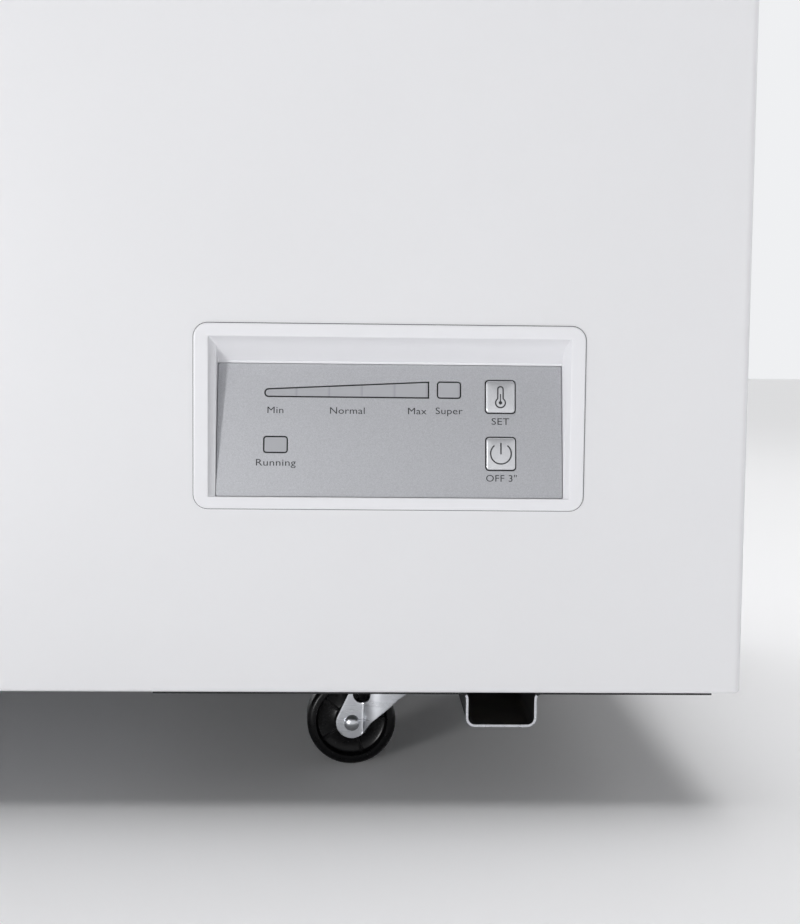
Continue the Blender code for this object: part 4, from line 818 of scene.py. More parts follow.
def hingePin(side):
    # spun rivet: chamfered shank, flat under the head, dome (r cos a, d sin a)
    low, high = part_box("hinge_pin_" + side)
    r, head, shank = (high.z - low.z) / 2, 2.2 * mm, 3 * mm
    dome = head * 0.6
    profile = [(0, low.x), (shank - 0.4 * mm, low.x), (shank, low.x + 0.4 * mm), (shank, high.x - head),
               (r, high.x - head)]
    profile += [(r * math.cos(a), high.x - dome + dome * math.sin(a)) for a in np.radians([0, 30, 60, 90])]
    makePiece("rivet_pin_" + side, [spunPatch(profile, 28, "x", (0, hingeAxis[1], hingeAxis[2]))], zincBright,
              "cabinet", ["hinge_pin_" + side])


for side in ("left", "right"):
    hingeSpring(side, hingeParts)
    hingePin(side)
print("lid made")


plateLow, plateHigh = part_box("control_fascia")
inward = Vector(joints["set_press"]["axis"])
tilt = math.asin(-inward.z)

fasciaPlan = {"sheet": 1.5, "corner": 1.0, "gap": 0.3, "edge": 0.12,
              "level": (23.5, 105.7, 50.1, 4.0, 8.1), "super": (110.1, 50.1, 11.7, 8.2),
              "running": (23.3, 21.9, 11.8, 8.1), "windowCorner": 1.3, "outline": 0.40, "keyGap": 0.46,
              "set": (134.4, 42.8), "off": (134.6, 14.0), "key": (14.8, 16.4), "keyCorner": 1.5}

plateFoot = Vector((plateLow.x, plateLow.y, plateLow.z + fasciaPlan["sheet"] * mm * math.sin(tilt)))
alongX = Vector((1, 0, 0))
upPlate = Vector((0, math.sin(tilt), math.cos(tilt)))
outPlate = -inward
fasciaPlace = Matrix.Translation(plateFoot) @ Matrix((alongX, upPlate, outPlate)).transposed().to_4x4()


def levelOutline(s, grow):
    # wedge: round narrow end on the left, square wide end on the right
    left, right, low, small, tall = (value * mm for value in s["level"])
    round_ = arcPoints((left + small / 2, low + small / 2), small / 2 + grow, 105, 255, 10)
    return np.vstack([[(right + grow, low - grow), (right + grow, low + tall + grow)], round_])


def windowOutline(s, key, grow):
    # rounded rectangle of one window, grown outwards on all sides
    left, low, wide, tall = (value * mm for value in s[key])
    return ringPoints(left - grow, left + wide + grow, low - grow, low + tall + grow,
                      s["windowCorner"] * mm + grow, 5)


def keyOutline(s, key, grow):
    # rounded rectangle of one key, grown outwards on all sides
    left, low = (value * mm for value in s[key])
    wide, tall = (value * mm for value in s["key"])
    return ringPoints(left - grow, left + wide + grow, low - grow, low + tall + grow,
                      s["keyCorner"] * mm + grow, 6)


def fasciaPlate(s):
    # sheet in its leaning plane, with openings for the windows and keys; its height is the node's depth,
    # less what the sheet itself takes, over sin(tilt)
    wide = plateHigh.x - plateLow.x
    tall = (plateHigh.y - plateLow.y - s["sheet"] * mm * math.cos(tilt)) / math.sin(tilt)
    gap, keyGap = s["gap"] * mm, s["keyGap"] * mm
    outlines = [ringPoints(0, wide, 0, tall, s["corner"] * mm, 5), levelOutline(s, gap),
                windowOutline(s, "super", gap), windowOutline(s, "running", gap),
                keyOutline(s, "set", keyGap), keyOutline(s, "off", keyGap)]
    makePiece("silver_fascia", [flatPatch(outlines, -s["sheet"] * mm, 0.0, s["edge"] * mm)], silverPaint,
              "cabinet", ["control_fascia"], turn=fasciaPlace, angle=14)
    return tall


def windows(s):
    # panes just behind the plate's face, a dark mask behind them and dark rings behind the keys
    inset = -s["outline"] * mm
    edge = 0.08 * mm
    deep, proud = -1.1 * mm, -0.10 * mm
    level = [flatPatch([levelOutline(s, inset)], deep, proud, edge),
             flatPatch([windowOutline(s, "super", inset)], deep, proud, edge)]
    makePiece("level_pane", level, paneAcrylic, "cabinet", ["level_lens"], turn=fasciaPlace,
              angle=14)
    running = flatPatch([windowOutline(s, "running", inset)], deep, proud, edge)
    makePiece("running_pane", [running], paneAcrylic, "cabinet", ["running_lens"],
              turn=fasciaPlace, angle=14)
    back = (-2.2 * mm, -0.75 * mm)
    mask = [flatPatch([outline(s, *key, 0.05 * mm)], *back) for outline, key in
            ((levelOutline, ()), (windowOutline, ("super",)), (windowOutline, ("running",)))]
    makePiece("light_mask", mask, maskInk, "cabinet", turn=fasciaPlace)
    wells = [flatPatch([keyOutline(s, key, 0.4 * mm), keyOutline(s, key, -1.5 * mm)], -2.7 * mm, -2.1 * mm)
             for key in ("set", "off")]
    makePiece("key_wells", wells, maskInk, "cabinet", turn=fasciaPlace)


def evenRing(outline, count):
    # the same closed outline at evenly spaced points along its length
    loop = np.vstack([outline, outline[:1]])
    along = np.concatenate([[0], np.cumsum(np.linalg.norm(np.diff(loop, axis=0), axis=1))])
    at = np.linspace(0, along[-1], count, endpoint=False)
    return np.stack([np.interp(at, along, loop[:, 0]), np.interp(at, along, loop[:, 1])], axis=1)


def keycap(s, key, icon):
    # rings about the key's centre: each is its outline scaled by t, turning into an ellipse as t falls, at
    # heights that make a straight side, a small round shoulder and a shallow dome
    left, low = (value * mm for value in s[key])
    wide, tall = (value * mm for value in s["key"])
    middle = np.array([left + wide / 2, low + tall / 2])
    around = evenRing(keyOutline(s, key, 0.0), 120) - middle
    reach = np.linalg.norm(around, axis=1)[:, None]
    way = around / reach
    oval = 1 / np.sqrt((way[:, :1] / (wide / 2)) ** 2 + (way[:, 1:] / (tall / 2)) ** 2)
    rise = [(0.985, -1.2), (0.985, -0.1), (0.982, 0.14), (0.972, 0.32), (0.955, 0.45), (0.93, 0.54),
            (0.90, 0.60), (0.84, 0.67), (0.74, 0.75), (0.60, 0.82), (0.42, 0.87), (0.22, 0.895), (0.06, 0.90)]
    rings = []
    for t, lift in rise:
        blend = 1 - min(t / 0.9, 1.0) ** 2
        ring = middle + way * t * ((1 - blend) * reach + blend * oval)
        rings.append(np.hstack([ring, np.full((len(ring), 1), lift * mm)]))
    stem = boxPatch((left + wide / 2 - 2 * mm, low + tall / 2 - 2 * mm, -6.2 * mm),
                    (left + wide / 2 + 2 * mm, low + tall / 2 + 2 * mm, -1.1 * mm))
    node = key + "_button"
    makePiece(key + "_keycap", [ringStack(rings, True, True), stem], keyPaint, key + "_key", [node],
              turn=fasciaPlace, angle=50)
    centre = np.array([left + wide / 2, low + tall / 2, 0.0])
    parts = [(points + centre, faces) for points, faces in icon()]
    makePiece(key + "_symbol", parts, legendInk, key + "_key", turn=fasciaPlace)


def ribbon(path, width, low, high):
    # flat stroke: the path moved half a width to each side, closed at both ends
    path = np.asarray(path)
    along = np.gradient(path, axis=0)
    along /= np.linalg.norm(along, axis=1)[:, None]
    side = np.stack([-along[:, 1], along[:, 0]], axis=1) * width / 2
    outline = np.vstack([path + side, (path - side)[::-1]])
    return bar(outline, low, high, "z")


symbolInk = {"stroke": 0.68, "low": 0.6, "high": 0.912}


def thermometer():
    # stem and bulb outline as one closed stroke, with a mercury line and a dot inside
    s = symbolInk
    w, low, high = s["stroke"] * mm, s["low"] * mm, s["high"] * mm
    stemHalf, top, bulb, bulbY = 1.35 * mm, 3.75 * mm, 2.45 * mm, -3.1 * mm
    meet = math.degrees(math.asin(stemHalf / bulb))
    head = arcPoints((0, top), stemHalf, 0, 180, 12)
    ball = arcPoints((0, bulbY), bulb, 90 + meet, 450 - meet, 28)
    path = np.vstack([head, ball, head[:1]])
    line = [(0, 1.4 * mm), (0, 0), (0, bulbY)]
    dot = arcPoints((0, bulbY), 0.9 * mm, 0, 345, 23)
    return [ribbon(path, w, low, high), ribbon(line, w * 0.8, low, high), bar(dot, low, high, "z")]


def powerSign():
    # ring open at the top between 90 - g and 90 + g degrees, with an upright stroke in the gap
    s = symbolInk
    w, low, high = s["stroke"] * mm, s["low"] * mm, s["high"] * mm
    halfGap = 38.7
    ring = arcPoints((0, 0), 5.2 * mm, 90 + halfGap, 450 - halfGap, 44)
    return [ribbon(ring, w, low, high), ribbon([(0, 5.4 * mm), (0, 2.5 * mm), (0, -0.4 * mm)], w, low, high)]


def legends():
    # generic words that name the scale, the lamp and the two keys
    cap, low, high = 3.5 * mm, -0.02 * mm, 0.03 * mm
    words = (("Min", 24.9, 32.9, 41.7), ("Normal", 56.2, 73.6, 41.7), ("Max", 95.3, 104.7, 41.8),
             ("Super", 109.2, 122.8, 42.0), ("SET", 137.4, 146.3, 36.9), ("OFF 3\"", 134.6, 150.0, 8.2),
             ("Running", 19.6, 39.4, 15.3))
    patches = [wordPatch(word, cap, x0 * mm, x1 * mm, y * mm, low, high) for word, x0, x1, y in words]
    makePiece("printed_legends", patches, legendInk, "cabinet",
              turn=fasciaPlace, angle=14)


bezelFrame = {"corner": 7.0, "edge": 0.7, "side": 7.4, "head": 6.6, "foot": 6.0, "lip": 0.5,
              "innerCorner": 0.5, "flare": 5.0, "step": 1.2, "spigot": 4.5, "depth": 23.5, "plateReach": 66.9}


def bezel(s):
    # torus of rings: outer edge, face, opening edge, flared side walls, sloping ceiling, ledge, back and
    # spigot; plateReach is how far up the fascia the ceiling meets it
    front, skin = bezelLow.y, frontY - 0.3 * mm
    l, r, b, t = bezelLow.x, bezelHigh.x, bezelLow.z, bezelHigh.z
    e, lip = s["edge"] * mm, s["lip"] * mm
    ol, orr, ob, ot = l + s["side"] * mm, r - s["side"] * mm, b + s["foot"] * mm, t - s["head"] * mm
    pl, pr = plateLow.x - 0.3 * mm, plateHigh.x + 0.3 * mm
    tall = s["plateReach"] * mm
    headY = plateFoot.y + tall * math.sin(tilt)
    headZ = plateFoot.z + tall * math.cos(tilt)

    def plane(z):
        return plateFoot.y + (z - plateFoot.z) * math.tan(tilt)

    def ring(left, right, low, high, rho, y):
        flat = ringPoints(left, right, low, high, rho, 6)
        depth = y(flat[:, 1]) if callable(y) else np.full(len(flat), y)
        return np.stack([flat[:, 0], depth, flat[:, 1]], axis=1)

    def inset(d, y, rho=None):
        return ring(l + d, r - d, b + d, t - d, max((rho or s["corner"] * mm) - d, 0.5 * mm), y)

    rows = [inset(0.0, skin)]
    rows += [inset(e * (1 - math.cos(a)), front + e * (1 - math.sin(a)))
             for a in np.radians(np.linspace(0, 90, 5))]
    rows += [inset(e + 0.8 * mm, front)]
    inner = s["innerCorner"] * mm
    rows += [ring(ol - lip * 2, orr + lip * 2, ob - lip * 2, ot + lip * 2, inner * 3, front)]
    rows += [ring(ol - lip * (1 - math.sin(a)), orr + lip * (1 - math.sin(a)), ob - lip * (1 - math.sin(a)),
                  ot + lip * (1 - math.sin(a)), inner * (2 - math.sin(a)), front + lip * (1 - math.cos(a)))
             for a in np.radians(np.linspace(0, 90, 4))]
    flareY = front + s["flare"] * mm
    share = s["flare"] * mm / (headY - front)
    flareTop = ot + (headZ + s["step"] * mm - ot) * share
    rows += [ring(pl, pr, ob, flareTop, inner, lambda z: np.minimum(flareY, plane(z) + 0.2 * mm))]
    rows += [ring(pl, pr, ob, headZ + s["step"] * mm, inner, plane)]
    rows += [ring(pl, pr, ob, headZ + 0.2 * mm, inner, plane)]
    rows += [ring(pl, pr, ob, headZ + 0.2 * mm, inner, lambda z: plane(z) + 1.6 * mm)]
    back = front + s["depth"] * mm
    rows += [ring(pl, pr, ob, headZ + 0.2 * mm, inner, back)]
    rows += [inset(s["spigot"] * mm, y, 2 * s["spigot"] * mm) for y in (back, skin)]
    makePiece("panel_bezel", [ringStack(rows, closedRows=True)], bezelWhite, "cabinet", ["control_bezel"],
              angle=32)


def bezelShadowLine():
    # flat dark grey ring standing just past the bezel's edge: painted shadow of the gap between bezel and
    # sheet, showing as a fine line round the bezel
    grow, inside = 0.32 * mm, 2.5 * mm
    l, r, b, t = bezelLow.x, bezelHigh.x, bezelLow.z, bezelHigh.z
    corner = bezelFrame["corner"] * mm
    rows = []
    for d, y in ((-grow, frontY - 0.02 * mm), (-grow, frontY - 0.26 * mm), (inside, frontY - 0.26 * mm),
                 (inside, frontY - 0.02 * mm)):
        flat = ringPoints(l + d, r - d, b + d, t - d, corner - d, 8)
        rows.append(np.stack([flat[:, 0], np.full(len(flat), y), flat[:, 1]], axis=1))
    makePiece("bezel_seal", [ringStack(rows, closedRows=True)], shadowLineGrey, "cabinet",
              angle=20)


bezelShadowLine()
plateTall = fasciaPlate(fasciaPlan)
windows(fasciaPlan)
keycap(fasciaPlan, "set", thermometer)
keycap(fasciaPlan, "off", powerSign)
legends()
bezel(bezelFrame)
print("control panel made, fascia", round(plateTall / mm, 1), "mm tall")


basePress = {"sheet": 1.2, "channel": 121.5, "half": 18.0, "foot": 4.7, "head": 2.4, "steps": 7}


def basePlate(name, node, s):
    # middle line of the pressed sheet: flat, down into the channel by two arcs, and up again by two more
    low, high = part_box(node)
    sign = 1 if low.x > 0 else -1
    top = high.z if node == "left_base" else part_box("left_base")[1].z
    channel = sign * (wrapHigh.x - s["channel"] * mm)
    half, foot, head, sheet = (s[k] * mm for k in ("half", "foot", "head", "sheet"))
    flat, bottom = top - sheet, low.z
    n = s["steps"]
    under = np.vstack([[(low.x, flat)], arcPoints((channel - half - head, flat - head), head, 90, 0, n),
                       arcPoints((channel - half + foot, bottom + foot), foot, 180, 270, n),
                       arcPoints((channel + half - foot, bottom + foot), foot, 270, 360, n),
                       arcPoints((channel + half + head, flat - head), head, 180, 90, n), [(high.x, flat)]])
    over = np.vstack([[(high.x, top)],
                      arcPoints((channel + half + head, flat - head), head + sheet, 90, 180, n),
                      arcPoints((channel + half - foot, bottom + foot), foot - sheet, 360, 270, n),
                      arcPoints((channel - half + foot, bottom + foot), foot - sheet, 270, 180, n),
                      arcPoints((channel - half - head, flat - head), head + sheet, 0, 90, n),
                      [(low.x, top)]])
    section = np.vstack([under, over])
    rings = [np.insert(section, 1, y, axis=1) for y in (low.y, high.y)]
    patches = [ringStack(rings)]
    patches += [gridPatch(np.stack([np.insert(under, 1, y, axis=1), np.insert(over[::-1], 1, y, axis=1)]))
                for y in (low.y, high.y)]
    if node == "machine_base":
        patches += [stud(x, y, top) for x, y in gripCentres()]
    # the whole pressed sheet takes the near-black finish, painted shade for its channel's inside
    piece = makePiece(name, patches, channelShadeBlack, "cabinet", [node], angle=40)
    piece.data.materials.append(edgeSteel)
    # only the channel's cut ends get the bright bare-steel finish; the flanges' cut ends keep the near-black
    # colour as painted shade
    edgeFaces = np.array([abs(face.normal.y) > 0.9 and face.center.z < flat - 0.4 * mm
                          for face in piece.data.polygons])
    piece.data.polygons.foreach_set("material_index", edgeFaces.astype(np.int32))


def gripCentres():
    # middle of each compressor grommet, seen from above
    centres = []
    for i in (1, 2, 3, 4):
        low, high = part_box(f"compressor_grommet_{i}")
        centres.append(((low.x + high.x) / 2, (low.y + high.y) / 2))
    return centres


def stud(x, y, top):
    # spun pin with a chamfered tip, from just under the sheet's top to the plate's highest point
    r, tip = 3 * mm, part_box("machine_base")[1].z
    profile = [(r, top - 0.6 * mm), (r, tip - 0.6 * mm), (r - 0.6 * mm, tip), (0, tip)]
    return spunPatch(profile, 20, "z", (x, y, 0))


basePlate("machine_base_sheet", "machine_base", basePress)
basePlate("left_base_sheet", "left_base", basePress)
print("base made")


casterWheel = {"half": 10.0, "bore": 3.3, "hub": 8.5, "web": 4.6, "rimInner": 19.6, "rim": 21.2, "round": 3.6,
               "ribs": 5, "sides": 72, "ribHeight": 1.5, "ribHalf": 0.8}
casterFork = {"sheet": 1.8, "legHalf": 11.2, "cap": 19.0, "foot": 8.8, "lean": 25.6, "bendTop": 1.2,
              "window": 4.8, "windowAt": (5.2, 16.0), "trail": 20.0, "top": 53.0}
axleRivet = {"head": 4.5, "shank": 3.0, "dome": 2.9}


def wheelPatches(s, radius):
    # half profile from the bore out: hub face, dished web, raised rim, round shoulder, then mirrored
    half = s["half"]
    face = [(s["bore"], half - 0.9), (s["bore"] + 0.3, half - 0.2), (s["hub"] - 0.5, half - 0.2),
            (s["hub"], half - 0.7),
            (s["hub"] + 0.5, half - s["web"]), (s["hub"] + 1.3, half - s["web"] - 0.6),
            (s["rimInner"] - 1.6, half - s["web"] - 0.6), (s["rimInner"] - 0.6, half - s["web"]),
            (s["rimInner"], half - 0.9), (s["rimInner"] + 0.5, half - 0.3), (s["rim"], half - 0.25)]
    arc = arcPoints((radius - s["round"], half - s["round"] - 0.2), s["round"], 72, 0, 8)
    right = np.vstack([np.array(face), arc]) * mm
    profile = np.vstack([right, right[::-1] * [1, -1], right[:1]])
    patches = [spunPatch(profile, s["sides"], "y")]
    for i in range(s["ribs"]):
        turn = Matrix.Rotation(2 * math.pi * (i + 0.25) / s["ribs"], 3, "Y")
        for sign in (1, -1):
            web = sign * (half - s["web"] - 1.2)
            top = sign * (half - s["web"] - 0.6 + s["ribHeight"])
            block, faces = boxPatch((-s["ribHalf"] * mm, min(web, top) * mm, (s["hub"] - 0.4) * mm),
                                    (s["ribHalf"] * mm, max(web, top) * mm, (s["rimInner"] + 0.2) * mm))
            patches.append((block @ np.array(turn).T, faces))
    return patches


def forkHalf(s, axleZ):
    # rows of constant height: from the leaning front edge, back along the flat leg, then round the skirt's
    # circle as far as the lower edge lets it; the path is the leg's plane and the circle of the cap
    outer, cap, trail = s["legHalf"] + s["sheet"], s["cap"], s["trail"]
    lean = math.radians(s["lean"])
    footTurn = math.radians(180 - s["lean"])
    footTop = (-trail + s["foot"] * math.cos(footTurn), axleZ + s["foot"] * math.sin(footTurn))
    meetX = -math.sqrt(cap ** 2 - outer ** 2)
    meetAngle = math.atan2(outer, meetX)
    highest = s["top"] - s["bendTop"]
    low = axleZ - s["foot"]
    zs = np.concatenate([low + s["foot"] * (1 - np.cos(np.radians(np.linspace(0, 90, 12)))),
                         np.linspace(axleZ, highest, 22)[1:]])
    frontFoot = -trail - np.sqrt(np.maximum(s["foot"] ** 2 - (zs - axleZ) ** 2, 0))
    frontLean = footTop[0] + (zs - footTop[1]) * math.tan(lean)
    front = np.where(zs < footTop[1], frontFoot, frontLean)
    rearFoot = -trail + np.sqrt(np.maximum(s["foot"] ** 2 - (zs - axleZ) ** 2, 0))
    # the lower edge leaves the foot's circle and climbs to the back of the cap
    skirtFoot = axleZ + 20.5
    edge = np.array([(rearFoot[0], low), (-trail + 5.8, axleZ - 6.6), (-9.8, axleZ + 0.6),
                     (5.5, axleZ + 14.0), (19.0, skirtFoot)])
    rearEdge = np.interp(zs, edge[1:, 1], edge[1:, 0])
    rear = np.where(zs < edge[1, 1], rearFoot, rearEdge)
    path = []
    for x0, x1, z in zip(front, rear, zs):
        legRun = max(meetX - x0, 0.0)
        if z >= skirtFoot:
            end = legRun + cap * meetAngle
        elif x1 > meetX:
            end = legRun + cap * (meetAngle - math.acos(min(x1 / cap, 1.0)))
        else:
            end = x1 - x0
        # even steps on the leg, then even steps on the skirt, so that columns follow the bend
        legEnd = min(legRun, end)
        leg = np.linspace(0, legEnd, 12)
        skirt = np.linspace(legEnd, end, 15)[1:]
        run = np.concatenate([leg, skirt])
        onLeg = run <= legRun
        turn = meetAngle - (run - legRun) / cap
        x = np.where(onLeg, x0 + run, cap * np.cos(turn))
        y = np.where(onLeg, outer, cap * np.sin(turn))
        path.append(np.stack([x, y, np.full(len(run), z)], axis=1))
    return np.array(path), meetAngle


def forkPatches(s, radius):
    grid, meetAngle = forkHalf(s, radius)
    mirrored = grid * [1, -1, 1]
    patches = [gridPatch(grid), gridPatch(mirrored)]
    # the crown: each column of the top row rolls over a small bend and runs in to the kingpin's hole
    top = grid[-1][11:]
    around = np.vstack([top, (top * [1, -1, 1])[::-1][1:]])
    bend, hole = s["bendTop"], 4.3
    rows = [around]
    for a in np.radians([30, 60, 90]):
        inset = bend * (1 - math.cos(a))
        scale = (s["cap"] - inset) / s["cap"]
        rows.append(np.stack([around[:, 0] * scale, around[:, 1] * scale,
                              np.full(len(around), s["top"] - bend + bend * math.sin(a))], axis=1))
    inner = rows[-1] * [hole / (s["cap"] - bend), hole / (s["cap"] - bend), 1]
    inner[:, :2] *= (hole / np.linalg.norm(inner[:, :2], axis=1))[:, None]
    rows.append(inner)
    patches.append(gridPatch(np.array(rows)))
    # the crown's front: a flat bridge between the two bend lines, ahead of the hole
    turn = np.linspace(meetAngle, 2 * math.pi - meetAngle, 15)
    edgeRing = np.stack([s["cap"] * np.cos(turn), s["cap"] * np.sin(turn)], axis=1)
    levels = []
    for a in np.radians([30, 60, 90]):
        scale = (s["cap"] - bend * (1 - math.cos(a))) / s["cap"]
        levels.append(np.hstack([edgeRing * scale, np.full((15, 1), s["top"] - bend + bend * math.sin(a))]))
    bore = np.hstack([edgeRing * hole / s["cap"], np.full((15, 1), s["top"])])
    patches.append(gridPatch(np.array(levels + [bore])))
    return [(points * mm, faces) for points, faces in patches]


def rivetPatch(s, reach):
    # shank with a domed head at each end
    dome = arcPoints((0, reach), s["head"], 0, 90, 8)
    dome[:, 1] = reach + (dome[:, 1] - reach) * s["dome"] / s["head"]
    right = np.vstack([[(s["shank"], 0), (s["shank"], reach), (s["head"] - 0.2, reach)], dome]) * mm
    left = (right * [1, -1])[::-1]
    return spunPatch(np.vstack([left, right]), 32, "y")


def casterAt(corner):
    # place of one caster: its swivel's point, and the turn of its fork read from the wheel's axle
    pin = joints["swivel_" + corner]["pos_m"]
    axle = joints["spin_" + corner]
    turn = math.atan2(axle["axis"][1], axle["axis"][0]) - math.pi / 2
    upright = Matrix.Translation((pin[0], pin[1], 0)) @ Matrix.Rotation(turn, 4, "Z")
    hub = Matrix.Translation(axle["pos_m"]) @ Matrix.Rotation(turn, 4, "Z")
    return upright, hub


for corner in corners:
    upright, hub = casterAt(corner)
    wheelLow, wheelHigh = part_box("caster_wheel_" + corner)
    wheelRadius = (wheelHigh.z - wheelLow.z) / 2 / mm
    hole, (holeX, holeZ) = casterFork["window"] * mm, casterFork["windowAt"]
    window = spunPatch([(0, -0.04), (hole, -0.04), (hole, 0.04), (0, 0.04)], 28, "y",
                       ((holeX - casterFork["trail"]) * mm, 0, wheelRadius * mm + holeZ * mm))
    window = (window[0] @ np.array(upright.to_3x3()).T + np.array(upright.translation), window[1])
    makePiece("nylon_wheel_" + corner, wheelPatches(casterWheel, wheelRadius), wheelNylon, "wheel_" + corner,
              ["caster_wheel_" + corner], turn=hub, angle=40)
    makePiece("pressed_fork_" + corner, forkPatches(casterFork, wheelRadius), zincBright, "fork_" + corner,
              ["caster_fork_" + corner], wall=casterFork["sheet"] * mm, turn=upright,
              cutters=[window], edge=0.25 * mm, edgeSteps=2, angle=50, rim=edgeSteel)
    reach = casterFork["legHalf"] + casterFork["sheet"] + 0.1
    makePiece("axle_rivet_" + corner, [rivetPatch(axleRivet, reach)], zincBright, "fork_" + corner,
              ["caster_axle_" + corner], turn=hub, angle=50)
print("casters made")


basketWires = {"rim": 3.2, "mesh": 2.2, "across": 12, "along": 15, "levels": 4, "corner": 12.0}


def wireBasket(s):
    # U-shaped wires both ways through the floor, level rings between them, a thick rim and two end hooks
    rim, thin, r = s["rim"] / 2 * mm, s["mesh"] / 2 * mm, s["corner"] * mm
    x0, x1 = basketLow.x + 2 * mm, basketHigh.x - 2 * mm
    hookY = (basketLow.y + 2 * mm, basketHigh.y - 2 * mm)
    bodyLow, bodyHigh = meshBody()
    y0, y1 = bodyLow, bodyHigh
    top, low = basketHigh.z - rim, basketLow.z + thin
    patches = []
    for x in np.linspace(x0 + r, x1 - r, s["across"]):
        path = roundedPath([(x, y0, top), (x, y0, low), (x, y1, low), (x, y1, top)], r, 6)
        patches.append(tubePatch(path, thin, 8))
    for y in np.linspace(y0 + r, y1 - r, s["along"]):
        floor = low + 2 * thin
        path = roundedPath([(x0, y, top), (x0, y, floor), (x1, y, floor), (x1, y, top)], r, 6)
        patches.append(tubePatch(path, thin, 8))
    for i in range(s["levels"]):
        z = low + 18 * mm + (top - low - 18 * mm) * i / s["levels"]
        ring = ringPoints(x0 + 2 * thin, x1 - 2 * thin, y0 + 2 * thin, y1 - 2 * thin, r, 6)
        patches.append(tubePatch(np.hstack([ring, np.full((len(ring), 1), z)]), thin, 8, closed=True))
    ring = ringPoints(x0, x1, y0, y1, r, 8)
    patches.append(tubePatch(np.hstack([ring, np.full((len(ring), 1), top)]), rim, 12, closed=True))
    for start, end in ((y0, hookY[0]), (y1, hookY[1])):
        path = roundedPath([(x0 + 25 * mm, start, top), (x0 + 25 * mm, end, top), (x1 - 25 * mm, end, top),
                            (x1 - 25 * mm, start, top)], 8 * mm, 6)
        patches.append(tubePatch(path, rim, 12))
    makePiece("coated_wire_basket", patches, wireCoat, "basket", ["wire_basket"], angle=60)


def meshBody():
    # front and back of the basket's body, without its hooks: the extent of its points near the floor
    mesh = frame["nodes"]["wire_basket"].data
    points = np.array([v.co for v in mesh.vertices])
    deep = points[points[:, 2] < basketLow.z + 50 * mm]
    return deep[:, 1].min() + 2 * mm, deep[:, 1].max() - 2 * mm


wireBasket(basketWires)
print("basket made")


sideVent = {"round": 2.2, "inset": 10.0, "blades": 9, "blade": 9.0, "thick": 1.6, "tilt": 38.0, "corner": 5.0}


def ventGrille(s):
    # frame ring on the side sheet and slanting blades with round noses across its opening
    wall, out = ventLow.x, ventHigh.x
    l, r, b, t = ventLow.y, ventHigh.y, ventLow.z, ventHigh.z
    e, open_ = s["round"] * mm, s["inset"] * mm

    def ring(d, x, rho):
        flat = ringPoints(l + d, r - d, b + d, t - d, rho, 6)
        return np.stack([np.full(len(flat), x), flat[:, 0], flat[:, 1]], axis=1)

    rows = [ring(0, wall, s["corner"] * mm)]
    rows += [ring(e * (1 - math.cos(a)), out - e * (1 - math.sin(a)),
                  s["corner"] * mm - e * (1 - math.cos(a)) * 0.8)
             for a in np.radians(np.linspace(0, 90, 5))]
    rows += [ring(open_ - 1.2 * mm, out, 2 * mm), ring(open_ - 0.3 * mm, out - 0.4 * mm, 1.6 * mm),
             ring(open_, out - 1.3 * mm, 1.5 * mm), ring(open_, wall, 1.5 * mm)]
    patches = [ringStack(rows, closedRows=True)]
    half, thick = s["blade"] / 2 * mm, s["thick"] / 2 * mm
    nose = arcPoints((half - thick, 0), thick, -90, 90, 5)
    blade = np.vstack([nose, nose * [-1, -1]])
    c, sn = math.cos(math.radians(-s["tilt"])), math.sin(math.radians(-s["tilt"]))
    turned = blade @ np.array([[c, sn], [-sn, c]])
    turned[:, 0] *= min(1.0, (out - wall - 0.6 * mm) / (turned[:, 0].max() - turned[:, 0].min()))
    middleX = (wall + out) / 2
    for z in np.linspace(b + open_, t - open_, s["blades"] + 2)[1:-1]:
        patches.append(bar(turned + [middleX, z], l + open_ - 0.5 * mm, r - open_ + 0.5 * mm, "y"))
    makePiece("side_vent", patches, trimWhite, "cabinet", ["vent_grille"], angle=40)


ventGrille(sideVent)


def drainParts():
    # spun pieces on the drain's axis: the tube with its flange, and the cap with a finger rim
    y, z = (drainLow.y + drainHigh.y) / 2, (drainLow.z + drainHigh.z) / 2
    outer, inner = drainLow.x, drainHigh.x
    bore, wall, flange = 7 * mm, 9 * mm, 15 * mm
    tube = [(bore, inner), (wall, inner), (wall, outer + 1.5 * mm), (flange, outer + 1.5 * mm),
            (flange, outer + 0.6 * mm), (flange - 0.6 * mm, outer), (bore, outer), (bore, inner)]
    makePiece("drain_spout", [spunPatch(tube, 40, "x", (0, y, z))], trimWhite, "cabinet", ["drain_tube"])
    low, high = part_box("drain_cap")
    shoulder = outer - 0.3 * mm
    cap = [(0, high.x), (5.2 * mm, high.x), (6.2 * mm, high.x - 2 * mm), (6.2 * mm, shoulder),
           (13.5 * mm, shoulder), (13.5 * mm, low.x + 1.4 * mm)]
    cap += [tuple(p) for p in arcPoints((12.1 * mm, low.x + 1.4 * mm), 1.4 * mm, 0, -90, 5)]
    cap += [(9.5 * mm, low.x), (8.7 * mm, low.x + 0.8 * mm), (0, low.x + 0.8 * mm)]
    grip = boxPatch((low.x + 0.1 * mm, y - 1.2 * mm, z - 8.4 * mm),
                    (low.x + 1.2 * mm, y + 1.2 * mm, z + 8.4 * mm))
    makePiece("drain_stopper_cap", [spunPatch(cap, 40, "x", (0, y, z)), grip], trimWhite, "drain_stopper",
              ["drain_cap"])


drainParts()
print("trim made")


shellLow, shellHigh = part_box("compressor")
compressorShell = {"radius": 76.0, "seam": 3.0, "sides": 64}


